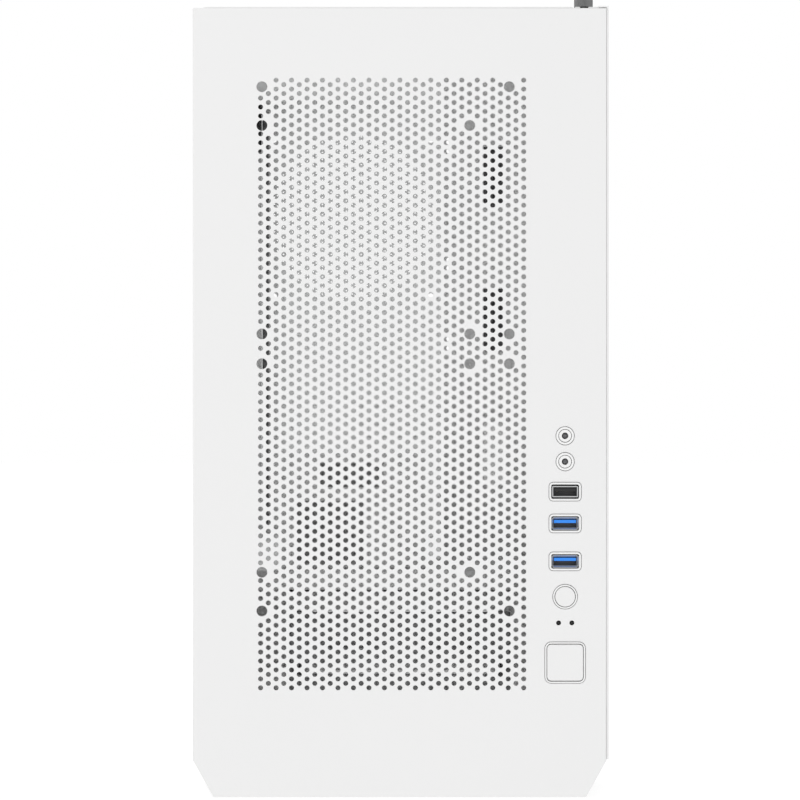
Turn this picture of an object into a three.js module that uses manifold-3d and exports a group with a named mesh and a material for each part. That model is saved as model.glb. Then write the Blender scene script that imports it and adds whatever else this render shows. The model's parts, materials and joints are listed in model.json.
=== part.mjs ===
// A compact desktop computer tower: a sheet steel chassis with a perforated front panel, a glass
// door on the left, a sliding steel panel on the right and a port column beside the front vent.
// Millimetres. +X is to the right of somebody facing the front, +Y to the rear, +Z up.
// The origin is at the centre of the footprint, on the ground.

import * as THREE from "three";
import { mergeVertices } from "three/addons/utils/BufferGeometryUtils.js";
import Module from "manifold-3d";

const wasm = await Module();
wasm.setup();

// Overall
const halfWidth = 105.1;
const roofTop = 397.8;
const frontFace = -199.4;
const rearFace = 192;
const overallRear = 200;
const gap = 0.3;
const sheet = 1;

// Front panel
const panelLeft = -104.4;
const panelRight = 103.85;
const chamferRise = 19.1;
const chamferRun = 10.4;
const skirtGap = 0.3;
const returnDepth = 16;
const fanScrewRadius = 2.75;
const fanScrewLeft = -69.6;
const fan120Right = 35.1;
const fan140Right = 55;
const fan120Heights = [338.6, 233.6, 218.6, 113.6];
const fan140Heights = [358.1, 233.6, 218.6, 94.1];

// Levels inside
const floorTop = 20.3;
const floorBottom = floorTop - sheet;
const shroudTop = 112;
const shroudBottom = shroudTop - sheet;
const roofBottom = roofTop - sheet;
const trayLeft = 80.5;
const trayFront = -140;

// Port column
const portX = 83.1;
const jackHeights = [182.3, 169.3];
const usbHeights = [154.2, 138.2, 119.1];
const resetHeight = 101.3;
const powerHeight = 68.1;
const ledHeight = 88.1;
const ledXs = [79.8, 86.5];
const bossFront = -200;
const housingFront = -196.5;
const housingBack = -194.5;
const boardFront = -184;

// Left door and its pivots
const doorOuter = -halfWidth;
const doorInner = doorOuter + 4;
const doorBottom = 113.2;
const doorTop = 397.5;
const doorFront = -183.1;
const pivotX = -102.6;
const pivotY = 184;
const pinRadius = 1.2;
const pinHoleRadius = 1.5;

// Right side panel and its thumb screws
const sidePanelLeft = 104.15;
const sideFlangeBottom = 398.1;
const sideFlangeTop = 398.9;
const topScrew = { x: 93, y: -190.5 };
const rearScrewX = 96.5;
const rearScrewHeights = [340, 70];
const screwShankRadius = 1.7;
const screwHoleRadius = 2.1;

// Rear openings
const boardSlotPitch = 20.32;
const firstSlotHeight = 190;
const slotCount = 4;
const slotXs = [-30, 72];

const finish = {
  whiteSteel: new THREE.MeshStandardMaterial({ color: 0xeeeeee, roughness: 0.45, metalness: 0.1 }),
  whitePlastic: new THREE.MeshStandardMaterial({ color: 0xf0f0ef, roughness: 0.4, metalness: 0 }),
  greyPlastic: new THREE.MeshStandardMaterial({ color: 0x8b8d8f, roughness: 0.6, metalness: 0 }),
  blackPlastic: new THREE.MeshStandardMaterial({ color: 0x1b1b1c, roughness: 0.5, metalness: 0 }),
  bluePlastic: new THREE.MeshStandardMaterial({ color: 0x2f8fee, roughness: 0.4, metalness: 0 }),
  rubber: new THREE.MeshStandardMaterial({ color: 0x161616, roughness: 0.85, metalness: 0 }),
  glass: new THREE.MeshStandardMaterial({ color: 0xb9c4c6, roughness: 0.05, metalness: 0 }),
  steel: new THREE.MeshStandardMaterial({ color: 0x8f9193, roughness: 0.35, metalness: 1 }),
  circuitBoard: new THREE.MeshStandardMaterial({ color: 0x1e2a22, roughness: 0.6, metalness: 0 }),
  mesh: new THREE.MeshStandardMaterial({ color: 0xd8d8d8, roughness: 0.8, metalness: 0 }),
};

// ---- Shapes -------------------------------------------------------------------------------

const snapStep = 1e-3;

// Coordinates are snapped to a micrometre, so that faces meant to be flush are flush exactly.
function solidOf(geometry) {
  const bare = geometry.index ? geometry.toNonIndexed() : geometry.clone();
  bare.deleteAttribute("normal");
  bare.deleteAttribute("uv");
  const merged = mergeVertices(bare, 1e-4);
  const positions = Array.from(merged.attributes.position.array);
  return new wasm.Manifold(
    new wasm.Mesh({
      numProp: 3,
      vertProperties: Float32Array.from(positions, (value) => Math.round(value / snapStep) * snapStep),
      triVerts: new Uint32Array(merged.index.array),
    }),
  );
}

function block(x0, x1, y0, y1, z0, z1) {
  const geometry = new THREE.BoxGeometry(x1 - x0, y1 - y0, z1 - z0);
  geometry.translate((x0 + x1) / 2, (y0 + y1) / 2, (z0 + z1) / 2);
  return solidOf(geometry);
}

// An outline in X and Z, given thickness from y0 to y1.
function plateAcrossY(shape, y0, y1, curveSegments = 3) {
  const geometry = new THREE.ExtrudeGeometry(shape, { depth: y1 - y0, bevelEnabled: false, curveSegments });
  geometry.rotateX(Math.PI / 2);
  geometry.translate(0, y1, 0);
  return solidOf(geometry);
}

// A round bar or bore along one axis, centred on the other two.
function rod(axis, radius, from, to, a, b, sides = 12, endRadius = radius) {
  const geometry = new THREE.CylinderGeometry(endRadius, radius, to - from, sides);
  const middle = (from + to) / 2;
  if (axis === "x") {
    geometry.rotateZ(-Math.PI / 2);
    geometry.translate(middle, a, b);
  } else if (axis === "y") {
    geometry.translate(a, middle, b);
  } else {
    geometry.rotateX(Math.PI / 2);
    geometry.translate(a, b, middle);
  }
  return solidOf(geometry);
}

function roundedRectangle(centreX, centreZ, width, height, radius) {
  const left = centreX - width / 2;
  const right = centreX + width / 2;
  const low = centreZ - height / 2;
  const high = centreZ + height / 2;
  const shape = new THREE.Shape();
  shape.moveTo(left + radius, low);
  shape.lineTo(right - radius, low);
  shape.absarc(right - radius, low + radius, radius, -Math.PI / 2, 0, false);
  shape.lineTo(right, high - radius);
  shape.absarc(right - radius, high - radius, radius, 0, Math.PI / 2, false);
  shape.lineTo(left + radius, high);
  shape.absarc(left + radius, high - radius, radius, Math.PI / 2, Math.PI, false);
  shape.lineTo(left, low + radius);
  shape.absarc(left + radius, low + radius, radius, Math.PI, 1.5 * Math.PI, false);
  return shape;
}

function roundedBlock(centreX, centreZ, width, height, radius, y0, y1) {
  return plateAcrossY(roundedRectangle(centreX, centreZ, width, height, radius), y0, y1);
}

const joined = (solids) => solids.reduce((whole, next) => whole.add(next));
const cut = (solid, tools) => solid.subtract(joined(tools));

const tower = new THREE.Group();

function addPiece(name, solid, material) {
  const result = solid.getMesh();
  const geometry = new THREE.BufferGeometry();
  geometry.setAttribute("position", new THREE.BufferAttribute(result.vertProperties, 3));
  geometry.setIndex(new THREE.BufferAttribute(result.triVerts, 1));
  const mesh = new THREE.Mesh(geometry, material);
  mesh.name = name;
  tower.add(mesh);
}

// ---- Chassis ------------------------------------------------------------------------------

function frontPanel() {
  const outline = new THREE.Shape();
  outline.moveTo(panelLeft + chamferRun, skirtGap);
  outline.lineTo(panelRight - chamferRun, skirtGap);
  outline.lineTo(panelRight, chamferRise);
  outline.lineTo(panelRight, roofTop);
  outline.lineTo(panelLeft, roofTop);
  outline.lineTo(panelLeft, chamferRise);
  const back = frontFace + sheet;
  const returnBack = frontFace + returnDepth;
  const folded = joined([
    plateAcrossY(outline, frontFace, back),
    block(panelLeft, panelLeft + sheet, frontFace, returnBack, chamferRise, roofTop),
    block(panelRight - sheet, panelRight, frontFace, returnBack, chamferRise, roofTop),
    block(panelLeft, panelRight, frontFace, returnBack, roofBottom, roofTop),
  ]);
  const through = (radius, x, z, sides) => rod("y", radius, frontFace - 1, back + 1, x, z, sides);
  const fanScrew = (x) => (z) => through(fanScrewRadius, x, z, 10);
  const leftHeights = [...new Set([...fan120Heights, ...fan140Heights])];
  const tools = [
    ...leftHeights.map(fanScrew(fanScrewLeft)),
    ...fan120Heights.map(fanScrew(fan120Right)),
    ...fan140Heights.map(fanScrew(fan140Right)),
    ...jackHeights.map((z) => through(4.8, portX, z, 20)),
    ...usbHeights.map((z) => roundedBlock(portX, z, 16.6, 9.8, 2.2, frontFace - 1, back + 1)),
    ...ledXs.map((x) => through(1.25, x, ledHeight, 10)),
    through(6.4, portX, resetHeight, 24),
    roundedBlock(portX, powerHeight, 20.8, 21.2, 3.4, frontFace - 1, back + 1),
    rod("z", screwHoleRadius, roofBottom - 1, roofTop + 1, topScrew.x, topScrew.y),
  ];
  return cut(folded, tools);
}

// The folded post that the door's magnets close on.
function frontPost() {
  const low = floorTop + gap;
  const high = roofBottom - gap;
  const plate = block(-97.5, -96.5, -182.8, -168, low, high);
  const lip = block(-97.5, -90, -182.8, -181.8, low, high);
  return plate.add(lip);
}

// Long slots side by side, for the vents of the floor and the roof.
function ventSlots(count, firstX, pitch, width, y0, y1, z0, z1) {
  const slots = [];
  for (let i = 0; i < count; i += 1) {
    const x = firstX + i * pitch;
    slots.push(block(x - width / 2, x + width / 2, y0, y1, z0, z1));
  }
  return slots;
}

function floorPlate() {
  const plate = joined([
    block(-103.1, panelRight - 0.25, -183, 190.7, floorBottom, floorTop),
    block(-90, 90, 189.7, 190.7, floorBottom, floorTop + 4),
  ]);
  return cut(plate, ventSlots(11, -55, 11.6, 7, 58, 176, floorBottom - 1, floorTop + 1));
}

function roofPanel() {
  const plate = joined([
    block(-100.2, panelRight - 0.25, -183, 190.7, roofBottom, roofTop),
    block(-97.5, -96.5, -160, 172, 386, roofTop),
  ]);
  const frontVent = ventSlots(12, -71, 11.6, 7, -160, -30, roofBottom - 1, roofTop + 1);
  const rearVent = ventSlots(12, -71, 11.6, 7, -10, 120, roofBottom - 1, roofTop + 1);
  return cut(plate, [...frontVent, ...rearVent]);
}

const slotHeights = Array.from({ length: slotCount }, (_, i) => firstSlotHeight - i * boardSlotPitch);

function rearPanel() {
  const inner = rearFace - sheet;
  const plate = joined([
    block(panelLeft, panelRight, inner, rearFace, floorBottom, roofTop),
    block(-92, -91, 178, rearFace, 116, roofBottom - 6),
  ]);
  const through = (radius, x, z, sides) => rod("y", radius, inner - 1, rearFace + 1, x, z, sides);
  const opening = (x0, x1, z0, z1) => block(x0, x1, inner - 1, rearFace + 1, z0, z1);
  const screwHoles = [];
  for (const dx of [-52.5, 52.5]) {
    for (const dz of [-52.5, 52.5]) {
      screwHoles.push(through(2.2, -32 + dx, 322 + dz, 10));
    }
  }
  const supplyHoles = [[-65, 99.5], [73, 99.5], [-65, 35.5], [49, 29]];
  return cut(plate, [
    opening(27.5, 72, 215, 373.8),
    opening(-58, 66, 30, 102),
    ...supplyHoles.map(([x, z]) => through(2, x, z, 10)),
    ...screwHoles,
    ...slotHeights.map((z) => opening(slotXs[0], slotXs[1], z - 6.5, z + 6.5)),
    ...rearScrewHeights.map((z) => through(screwHoleRadius, rearScrewX, z, 12)),
  ]);
}

function motherboardTray() {
  const right = trayLeft + sheet;
  const plate = block(trayLeft, right, trayFront, 190.4, shroudTop + gap, roofBottom - gap);
  const window = (y0, y1, z0, z1) => block(trayLeft - 2, right + 2, y0, y1, z0, z1);
  const windows = [
    window(50, 150, 250, 350),
    window(-128, -112, 290, 350),
    window(-128, -112, 190, 250),
    window(-30, 30, 376, 390),
    window(70, 130, 376, 390),
    window(-40, 60, 118, 130),
  ];
  // Threaded stand-offs for a microATX board whose rear edge is at y = 188 and top at z = 386.
  const standoffs = [];
  for (const fromRear of [6.4, 163.8, 234.9]) {
    for (const fromTop of [20, 165.1, 230]) {
      standoffs.push(rod("x", 3, trayLeft - 6, trayLeft + 0.5, 188 - fromRear, 386 - fromTop, 6));
    }
  }
  return cut(plate, windows).add(joined(standoffs));
}

function psuShroud() {
  const front = -165;
  const top = block(-98, trayLeft - gap, front, 190.4, shroudBottom, shroudTop);
  const frontFold = block(-98, trayLeft - gap, front, front + sheet, shroudTop - 10, shroudTop);
  const leftFold = block(-98, -97, front, 190.4, shroudTop - 14, shroudTop);
  const rearNotch = block(20, 60, 120, 150, shroudTop - 2, shroudTop + 1);
  return cut(joined([top, frontFold, leftFold]), [rearNotch]);
}

function lowerSidePlate() {
  const top = doorBottom - 0.6;
  const wall = block(panelLeft, panelLeft + sheet, -183, 190.7, floorBottom, top);
  const shelf = block(panelLeft, -98.5, -183, 190.7, top - sheet, top);
  const bore = rod("z", pinHoleRadius, top - 3, top + 1, pivotX, pivotY);
  return cut(wall.add(shelf), [bore]);
}

// A narrow upright plate in front of the board, folded along both edges, that hides the cables.
const barFront = -66;
const barSlotXs = [46.8, 58];
const barSlots = [[308.4, 342], [227.8, 262.5], [152.7, 187.4]];
const tieHoleHeights = [229.4, 234.5, 274.2, 278.7, 339.8, 344.8];

function cableBar() {
  const low = shroudTop + gap;
  const high = roofBottom - gap;
  const face = block(22.5, trayLeft - gap, barFront, barFront + sheet, low, high);
  const leftFold = block(22.5, 23.5, barFront, barFront + 10, low, high);
  const trayFold = block(trayLeft - gap - sheet, trayLeft - gap, barFront - 12, barFront + sheet, low, high);
  const slots = barSlots.map(([z0, z1]) => (
    block(barSlotXs[0], barSlotXs[1], barFront - 1, barFront + 3, z0, z1)
  ));
  const ties = tieHoleHeights.map((z) => rod("y", 1.6, barFront - 1, barFront + 3, 27.4, z, 8));
  return cut(joined([face, leftFold, trayFold]), [...slots, ...ties]);
}

// A rubber sleeve in a slot of the cable bar, closed by a membrane with a groove to cut along.
function cableGrommet([z0, z1]) {
  const middleX = (barSlotXs[0] + barSlotXs[1]) / 2;
  const middleZ = (z0 + z1) / 2;
  const width = barSlotXs[1] - barSlotXs[0];
  const height = z1 - z0;
  const neck = block(
    barSlotXs[0] + gap, barSlotXs[1] - gap, barFront - 1, barFront + 2.5, z0 + gap, z1 - gap,
  );
  const lip = roundedBlock(middleX, middleZ, width + 3, height + 3, 2, barFront + 1.3, barFront + 2.8);
  const recess = block(
    barSlotXs[0] + 1.3, barSlotXs[1] - 1.3, barFront - 2, barFront + 0.6, z0 + 1.3, z1 - 1.3,
  );
  const groove = block(middleX - 0.4, middleX + 0.4, barFront - 2, barFront + 1.6, z0 + 4, z1 - 4);
  return cut(neck.add(lip), [recess, groove]);
}

function ssdCage() {
  const low = shroudTop + gap;
  const high = 172;
  const front = -150;
  const back = -74;
  const shell = joined([
    block(-62, 14, front, front + sheet, low, high),
    block(-62, -61, front, back, low, high),
    block(-62, 14, front, back, high - sheet, high),
    block(-62, 14, front, back, low, low + sheet),
    block(-62, 14, back - sheet, back, low, high),
  ]);
  const mouth = block(-55.3, -19, front - 1, front + 2, low + 2, 147.3);
  const slot = block(-42.5, -8.9, front - 1, front + 2, 154.7, 167.3);
  return cut(shell, [mouth, slot]);
}

const cageX = 60;
const cageFront = -130;
const cageBack = 20;

function driveCage() {
  const low = floorTop + gap;
  const high = 98;
  const sideWalls = [-1, 1].map((side) => {
    const outer = side * cageX;
    const inner = side * (cageX - sheet);
    const wall = block(Math.min(outer, inner), Math.max(outer, inner), cageFront, cageBack, low, high);
    const rails = [24.5, 58].map((z) => {
      const edge = side * (cageX - 4);
      return block(Math.min(edge, inner), Math.max(edge, inner), cageFront, cageBack, z, z + sheet);
    });
    return joined([wall, ...rails]);
  });
  const top = block(-cageX, cageX, cageFront, cageBack, high - sheet, high);
  const lip = block(-cageX, cageX, cageFront, cageFront + sheet, high - 10, high);
  const window = block(-30, 30, -100, -10, high - 2, high + 1);
  return cut(joined([...sideWalls, top, lip]), [window]);
}

// A drive caddy: a shallow plastic tray with side walls, a high front and finger slots.
function driveCaddy(bottom) {
  const half = cageX - sheet - gap;
  const base = block(-half, half, cageFront + 2, cageBack - 2, bottom, bottom + 2);
  const walls = [-1, 1].map((side) => {
    const outer = side * half;
    const inner = side * (half - 3);
    return block(Math.min(outer, inner), Math.max(outer, inner), cageFront + 2, cageBack - 2, bottom, bottom + 20);
  });
  const front = block(-half, half, cageFront + 2, cageFront + 5, bottom, bottom + 28);
  const fingerSlots = [-26, 26].map((x) => (
    block(x - 14, x + 14, cageFront, cageFront + 7, bottom + 9, bottom + 16)
  ));
  return cut(joined([base, ...walls, front]), fingerSlots);
}

addPiece("front_panel", frontPanel(), finish.whiteSteel);
addPiece("front_post", frontPost(), finish.whiteSteel);
addPiece("floor_plate", floorPlate(), finish.whiteSteel);
addPiece("roof_panel", roofPanel(), finish.whiteSteel);
addPiece("rear_panel", rearPanel(), finish.whiteSteel);
addPiece("motherboard_tray", motherboardTray(), finish.whiteSteel);
addPiece("psu_shroud", psuShroud(), finish.whiteSteel);
addPiece("lower_side_plate", lowerSidePlate(), finish.whiteSteel);
addPiece("cable_bar", cableBar(), finish.whiteSteel);
addPiece("cable_grommet_upper", cableGrommet(barSlots[0]), finish.rubber);
addPiece("cable_grommet_middle", cableGrommet(barSlots[1]), finish.rubber);
addPiece("ssd_cage", ssdCage(), finish.whiteSteel);
addPiece("drive_cage", driveCage(), finish.whiteSteel);
addPiece("drive_caddy_upper", driveCaddy(59.3), finish.greyPlastic);
addPiece("drive_caddy_lower", driveCaddy(25.8), finish.greyPlastic);
addPiece("rear_seal", block(-90.7, -87.8, 178.5, rearFace - sheet - gap, 116, roofBottom - 6), finish.rubber);

// ---- Port column --------------------------------------------------------------------------

const buttonHeights = { reset: resetHeight, power: powerHeight };

function portHousing() {
  const plate = block(70.5, 95.7, housingFront, housingBack, 53, 191);
  const boss = (solidAt) => solidAt(bossFront, housingBack);
  const outers = [
    ...jackHeights.map((z) => boss((y0, y1) => rod("y", 4.5, y0, y1, portX, z, 20))),
    ...usbHeights.map((z) => boss((y0, y1) => roundedBlock(portX, z, 16, 9.2, 1.9, y0, y1))),
    boss((y0, y1) => rod("y", 6.1, y0, y1, portX, buttonHeights.reset, 24)),
    boss((y0, y1) => roundedBlock(portX, buttonHeights.power, 20.2, 20.6, 3.1, y0, y1)),
  ];
  const y0 = bossFront - 1;
  const y1 = housingBack + 1;
  const bores = [
    ...jackHeights.map((z) => rod("y", 3.4, y0, y1, portX, z, 20)),
    ...usbHeights.map((z) => roundedBlock(portX, z, 14, 6.7, 1, y0, y1)),
    ...ledXs.map((x) => rod("y", 1.4, y0, y1, x, ledHeight, 10)),
    rod("y", 5.35, y0, y1, portX, buttonHeights.reset, 24),
    roundedBlock(portX, buttonHeights.power, 18.7, 18.8, 2.3, y0, y1),
  ];
  return cut(joined([plate, ...outers]), bores);
}

function audioJack(z) {
  const barrel = rod("y", 3.1, -199.4, housingBack, portX, z, 20);
  const body = block(portX - 4.5, portX + 4.5, housingBack + gap, boardFront - gap, z - 4.5, z + 4.5);
  const neck = rod("y", 3.1, housingBack - 1, housingBack + 1, portX, z, 20);
  const bore = rod("y", 1.75, -201, -187, portX, z, 14);
  return cut(joined([barrel, neck, body]), [bore]);
}

function usbShell(z) {
  const shell = block(portX - 6.55, portX + 6.55, -199.2, boardFront - gap, z - 2.85, z + 2.85);
  const mouth = block(portX - 6, portX + 6, -201, -187, z - 2.25, z + 2.25);
  return cut(shell, [mouth]);
}

function usbTongue(z) {
  return block(portX - 5.6, portX + 5.6, -198.4, -187.3, z + 0.15, z + 1.75);
}

const ledLens = (x) => rod("y", 1.1, -198.7, boardFront - gap, x, ledHeight, 10);
const buttonStemEnd = -190.2;

function resetButton() {
  const cap = rod("y", 5.05, -199.8, -193.2, portX, resetHeight, 24);
  const flange = rod("y", 6.4, housingBack + gap, -193.2, portX, resetHeight, 24);
  const stem = rod("y", 2, -194, buttonStemEnd, portX, resetHeight, 12);
  return joined([cap, flange, stem]);
}

function powerButton() {
  const cap = roundedBlock(portX, powerHeight, 18.1, 18.2, 2, -199.8, -193.2);
  const flange = roundedBlock(portX, powerHeight, 21, 21, 3, housingBack + gap, -193.2);
  const stem = rod("y", 2.5, -194, buttonStemEnd, portX, powerHeight, 12);
  return joined([cap, flange, stem]);
}

function tactSwitch(z) {
  const body = block(portX - 3, portX + 3, -187.8, boardFront - gap, z - 3, z + 3);
  const plunger = rod("y", 1.5, -188.8, -187.5, portX, z, 12);
  return body.add(plunger);
}

function portBoard() {
  return block(71.5, 94.7, boardFront, boardFront + 1.6, 54, 190);
}

addPiece("port_housing", portHousing(), finish.whitePlastic);
addPiece("port_board", portBoard(), finish.circuitBoard);
addPiece("headphone_jack", audioJack(jackHeights[0]), finish.whitePlastic);
addPiece("microphone_jack", audioJack(jackHeights[1]), finish.whitePlastic);
["usb_upper", "usb_middle", "usb_lower"].forEach((name, i) => {
  addPiece(`${name}_shell`, usbShell(usbHeights[i]), finish.steel);
  addPiece(`${name}_tongue`, usbTongue(usbHeights[i]), i === 0 ? finish.blackPlastic : finish.bluePlastic);
});
addPiece("led_lens_left", ledLens(ledXs[0]), finish.blackPlastic);
addPiece("led_lens_right", ledLens(ledXs[1]), finish.blackPlastic);
addPiece("reset_button", resetButton(), finish.whitePlastic);
addPiece("reset_switch", tactSwitch(resetHeight), finish.blackPlastic);
addPiece("power_button", powerButton(), finish.whitePlastic);
addPiece("power_switch", tactSwitch(powerHeight), finish.blackPlastic);

// ---- Left door ----------------------------------------------------------------------------

const railFront = 175.3;
const railBack = 188.4;
const railBottom = 113.6;
const railTop = 394.6;

function hingeRail() {
  const rail = block(doorOuter, doorInner, railFront, railBack, railBottom, railTop);
  const lowerBore = rod("z", pinHoleRadius, railBottom - 1, railBottom + 12, pivotX, pivotY);
  const upperBore = rod("z", pinHoleRadius, railTop - 12, railTop + 1, pivotX, pivotY);
  return cut(rail, [lowerBore, upperBore]);
}

function hingeBracket() {
  const body = block(-97.5, -92.3, 176, rearFace - sheet - gap, 366, 396.5);
  const ear = block(-104.8, -92.3, 180, rearFace - sheet - gap, 395.3, 396.5);
  const bore = rod("z", pinHoleRadius, 394, 398, pivotX, pivotY);
  return cut(body.add(ear), [bore]);
}

function hingePin(shankFrom, shankTo, collarFrom, collarTo) {
  const shank = rod("z", pinRadius, shankFrom, shankTo, pivotX, pivotY);
  return shank.add(rod("z", 1.9, collarFrom, collarTo, pivotX, pivotY));
}

addPiece("door_glass", block(doorOuter, doorInner, doorFront, 175, doorBottom, doorTop), finish.glass);
addPiece("door_hinge_rail", hingeRail(), finish.whitePlastic);
addPiece("door_magnet_rail", block(-100.8, -98, -178, -168, 130, 380), finish.blackPlastic);
addPiece("hinge_bracket_upper", hingeBracket(), finish.blackPlastic);
addPiece("hinge_pin_upper", hingePin(384, 397.2, 396.8, 397.6), finish.steel);
addPiece("hinge_pin_lower", hingePin(111.8, 124, 112.9, 113.3), finish.steel);

// ---- Right side panel ---------------------------------------------------------------------

const sideFlangeLeft = 99.9;
const tabLeft = 88.3;

function rightSidePanel() {
  const rear = rearFace + gap + sheet;
  const front = -199;
  const folded = joined([
    block(sidePanelLeft, halfWidth, front, rear, floorBottom, sideFlangeTop),
    block(sideFlangeLeft, halfWidth, front, rear, sideFlangeBottom, sideFlangeTop),
    block(tabLeft, sideFlangeLeft + 1, -196, -182, sideFlangeBottom, sideFlangeTop),
    block(tabLeft, halfWidth, rearFace + gap, rear, floorBottom, sideFlangeTop),
  ]);
  const notch = block(
    topScrew.x - screwHoleRadius, topScrew.x + screwHoleRadius,
    -198, topScrew.y, sideFlangeBottom - 1, sideFlangeTop + 1,
  );
  const notchEnd = rod("z", screwHoleRadius, sideFlangeBottom - 1, sideFlangeTop + 1, topScrew.x, topScrew.y);
  const rearHoles = rearScrewHeights.map((z) => (
    rod("y", screwHoleRadius, rearFace - 1, rear + 1, rearScrewX, z)
  ));
  return cut(folded, [notch, notchEnd, ...rearHoles]);
}

// A thumb screw along one axis: shank, head with a slightly wider, domed top.
function thumbScrew(axis, shankFrom, headFrom, headTo, a, b, radius) {
  const dome = 0.8;
  return joined([
    rod(axis, screwShankRadius, shankFrom, headFrom + 0.5, a, b, 12),
    rod(axis, radius - 0.3, headFrom, headTo - dome, a, b, 24, radius),
    rod(axis, radius, headTo - dome, headTo, a, b, 24, radius - 1.2),
  ]);
}

addPiece("right_side_panel", rightSidePanel(), finish.whiteSteel);
addPiece(
  "thumb_screw_top",
  thumbScrew("z", 389, sideFlangeTop + gap, 405.2, topScrew.x, topScrew.y, 4.75),
  finish.steel,
);
["thumb_screw_rear_upper", "thumb_screw_rear_lower"].forEach((name, i) => {
  const headFrom = rearFace + gap + sheet + gap;
  addPiece(
    name,
    thumbScrew("y", 185, headFrom, overallRear, rearScrewX, rearScrewHeights[i], 6),
    finish.steel,
  );
});

// ---- Expansion slot covers ----------------------------------------------------------------

function slotCover(z) {
  const y0 = rearFace + gap;
  const plate = block(-46, 75, y0, y0 + 0.9, z - 9.3, z + 9.3);
  const rib = block(-24, 66, y0 - 0.2, y0 + 0.2, z - 4, z + 4);
  return plate.add(rib);
}

// The clamp turns on a pin along its left edge and presses on the ends of the covers.
const clampX = -54;
const clampY = 195.5;

function slotClamp() {
  const low = slotHeights[slotCount - 1] - 9;
  const high = slotHeights[0] + 9;
  const plate = block(clampX + 1, -37, rearFace + 1.5, rearFace + 2.7, low, high);
  const lip = block(-38.2, -37, rearFace + 1.5, rearFace + 6.5, low, high);
  const barrel = rod("z", 2.4, low, high, clampX, clampY, 14);
  const bridge = block(clampX, clampX + 3, rearFace + 1.5, clampY, low, high);
  const bore = rod("z", 1.3, low - 1, high + 1, clampX, clampY, 12);
  return cut(joined([plate, lip, barrel, bridge]), [bore]);
}

function clampHinge() {
  const low = slotHeights[slotCount - 1] - 9;
  const high = slotHeights[0] + 9;
  const ear = (z0, z1) => joined([
    block(clampX - 2.4, clampX + 2.4, rearFace + gap, clampY, z0, z1),
    rod("z", 2.4, z0, z1, clampX, clampY, 14),
  ]);
  return joined([
    ear(low - 3.5, low - gap),
    ear(high + gap, high + 3.5),
    rod("z", 1, low - 2, high + 2, clampX, clampY, 12),
  ]);
}

slotHeights.forEach((z, i) => {
  addPiece(`slot_cover_${i + 1}`, slotCover(z), finish.whiteSteel);
});
addPiece("slot_clamp", slotClamp(), finish.whiteSteel);
addPiece("slot_clamp_hinge", clampHinge(), finish.steel);

// ---- Dust filters and feet ----------------------------------------------------------------

function filterTray(x0, x1, y0, y1, z0, z1, rim, skin) {
  const body = block(x0, x1, y0, y1, z0, z1);
  return cut(body, [block(x0 + rim, x1 - rim, y0 + rim, y1 - rim, z0 - 1, z1 - skin)]);
}

const topFilter = () => filterTray(-99.7, 87.4, -196, 150, sideFlangeBottom, sideFlangeTop, 7, 0.4);

function psuFilter() {
  const tray = filterTray(-64, 70, 52, 184, 14.6, 17.2, 6, 1);
  return tray.add(block(-10, 16, 183, 190, 14.6, 16.6));
}

function filterRail(side) {
  const edge = side < 0 ? -64 : 70;
  const at = (from, to) => [edge + side * from, edge + side * to].sort((a, b) => a - b);
  const web = block(...at(gap, 1.8), 50, 188, 13.6, floorBottom - gap);
  const ledge = block(...at(-4, 1.8), 50, 188, 13.6, 14.3);
  const stop = block(...at(-4, 1.8), 50, 51.5, 13.6, floorBottom - gap);
  return joined([web, ledge, stop]);
}

const footX = 87.5;
const footY = 160;

addPiece("top_filter", topFilter(), finish.mesh);
addPiece("psu_filter", psuFilter(), finish.mesh);
addPiece("psu_filter_rail_left", filterRail(-1), finish.blackPlastic);
addPiece("psu_filter_rail_right", filterRail(1), finish.blackPlastic);

for (const [end, y] of [["front", -footY], ["rear", footY]]) {
  for (const [side, x] of [["left", -footX], ["right", footX]]) {
    const foot = rod("z", 11, 2.9, floorBottom - gap, x, y, 24, 13.5);
    const socket = rod("z", 9, 2, 5, x, y, 24);
    addPiece(`foot_${end}_${side}`, cut(foot, [socket]), finish.blackPlastic);
    addPiece(`foot_pad_${end}_${side}`, rod("z", 8.7, 0, 4.7, x, y, 24), finish.rubber);
  }
}

export default tower;
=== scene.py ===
import json
from math import cos, pi, radians, sin

import bmesh
import bpy
from mathutils import Matrix, Vector


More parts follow.
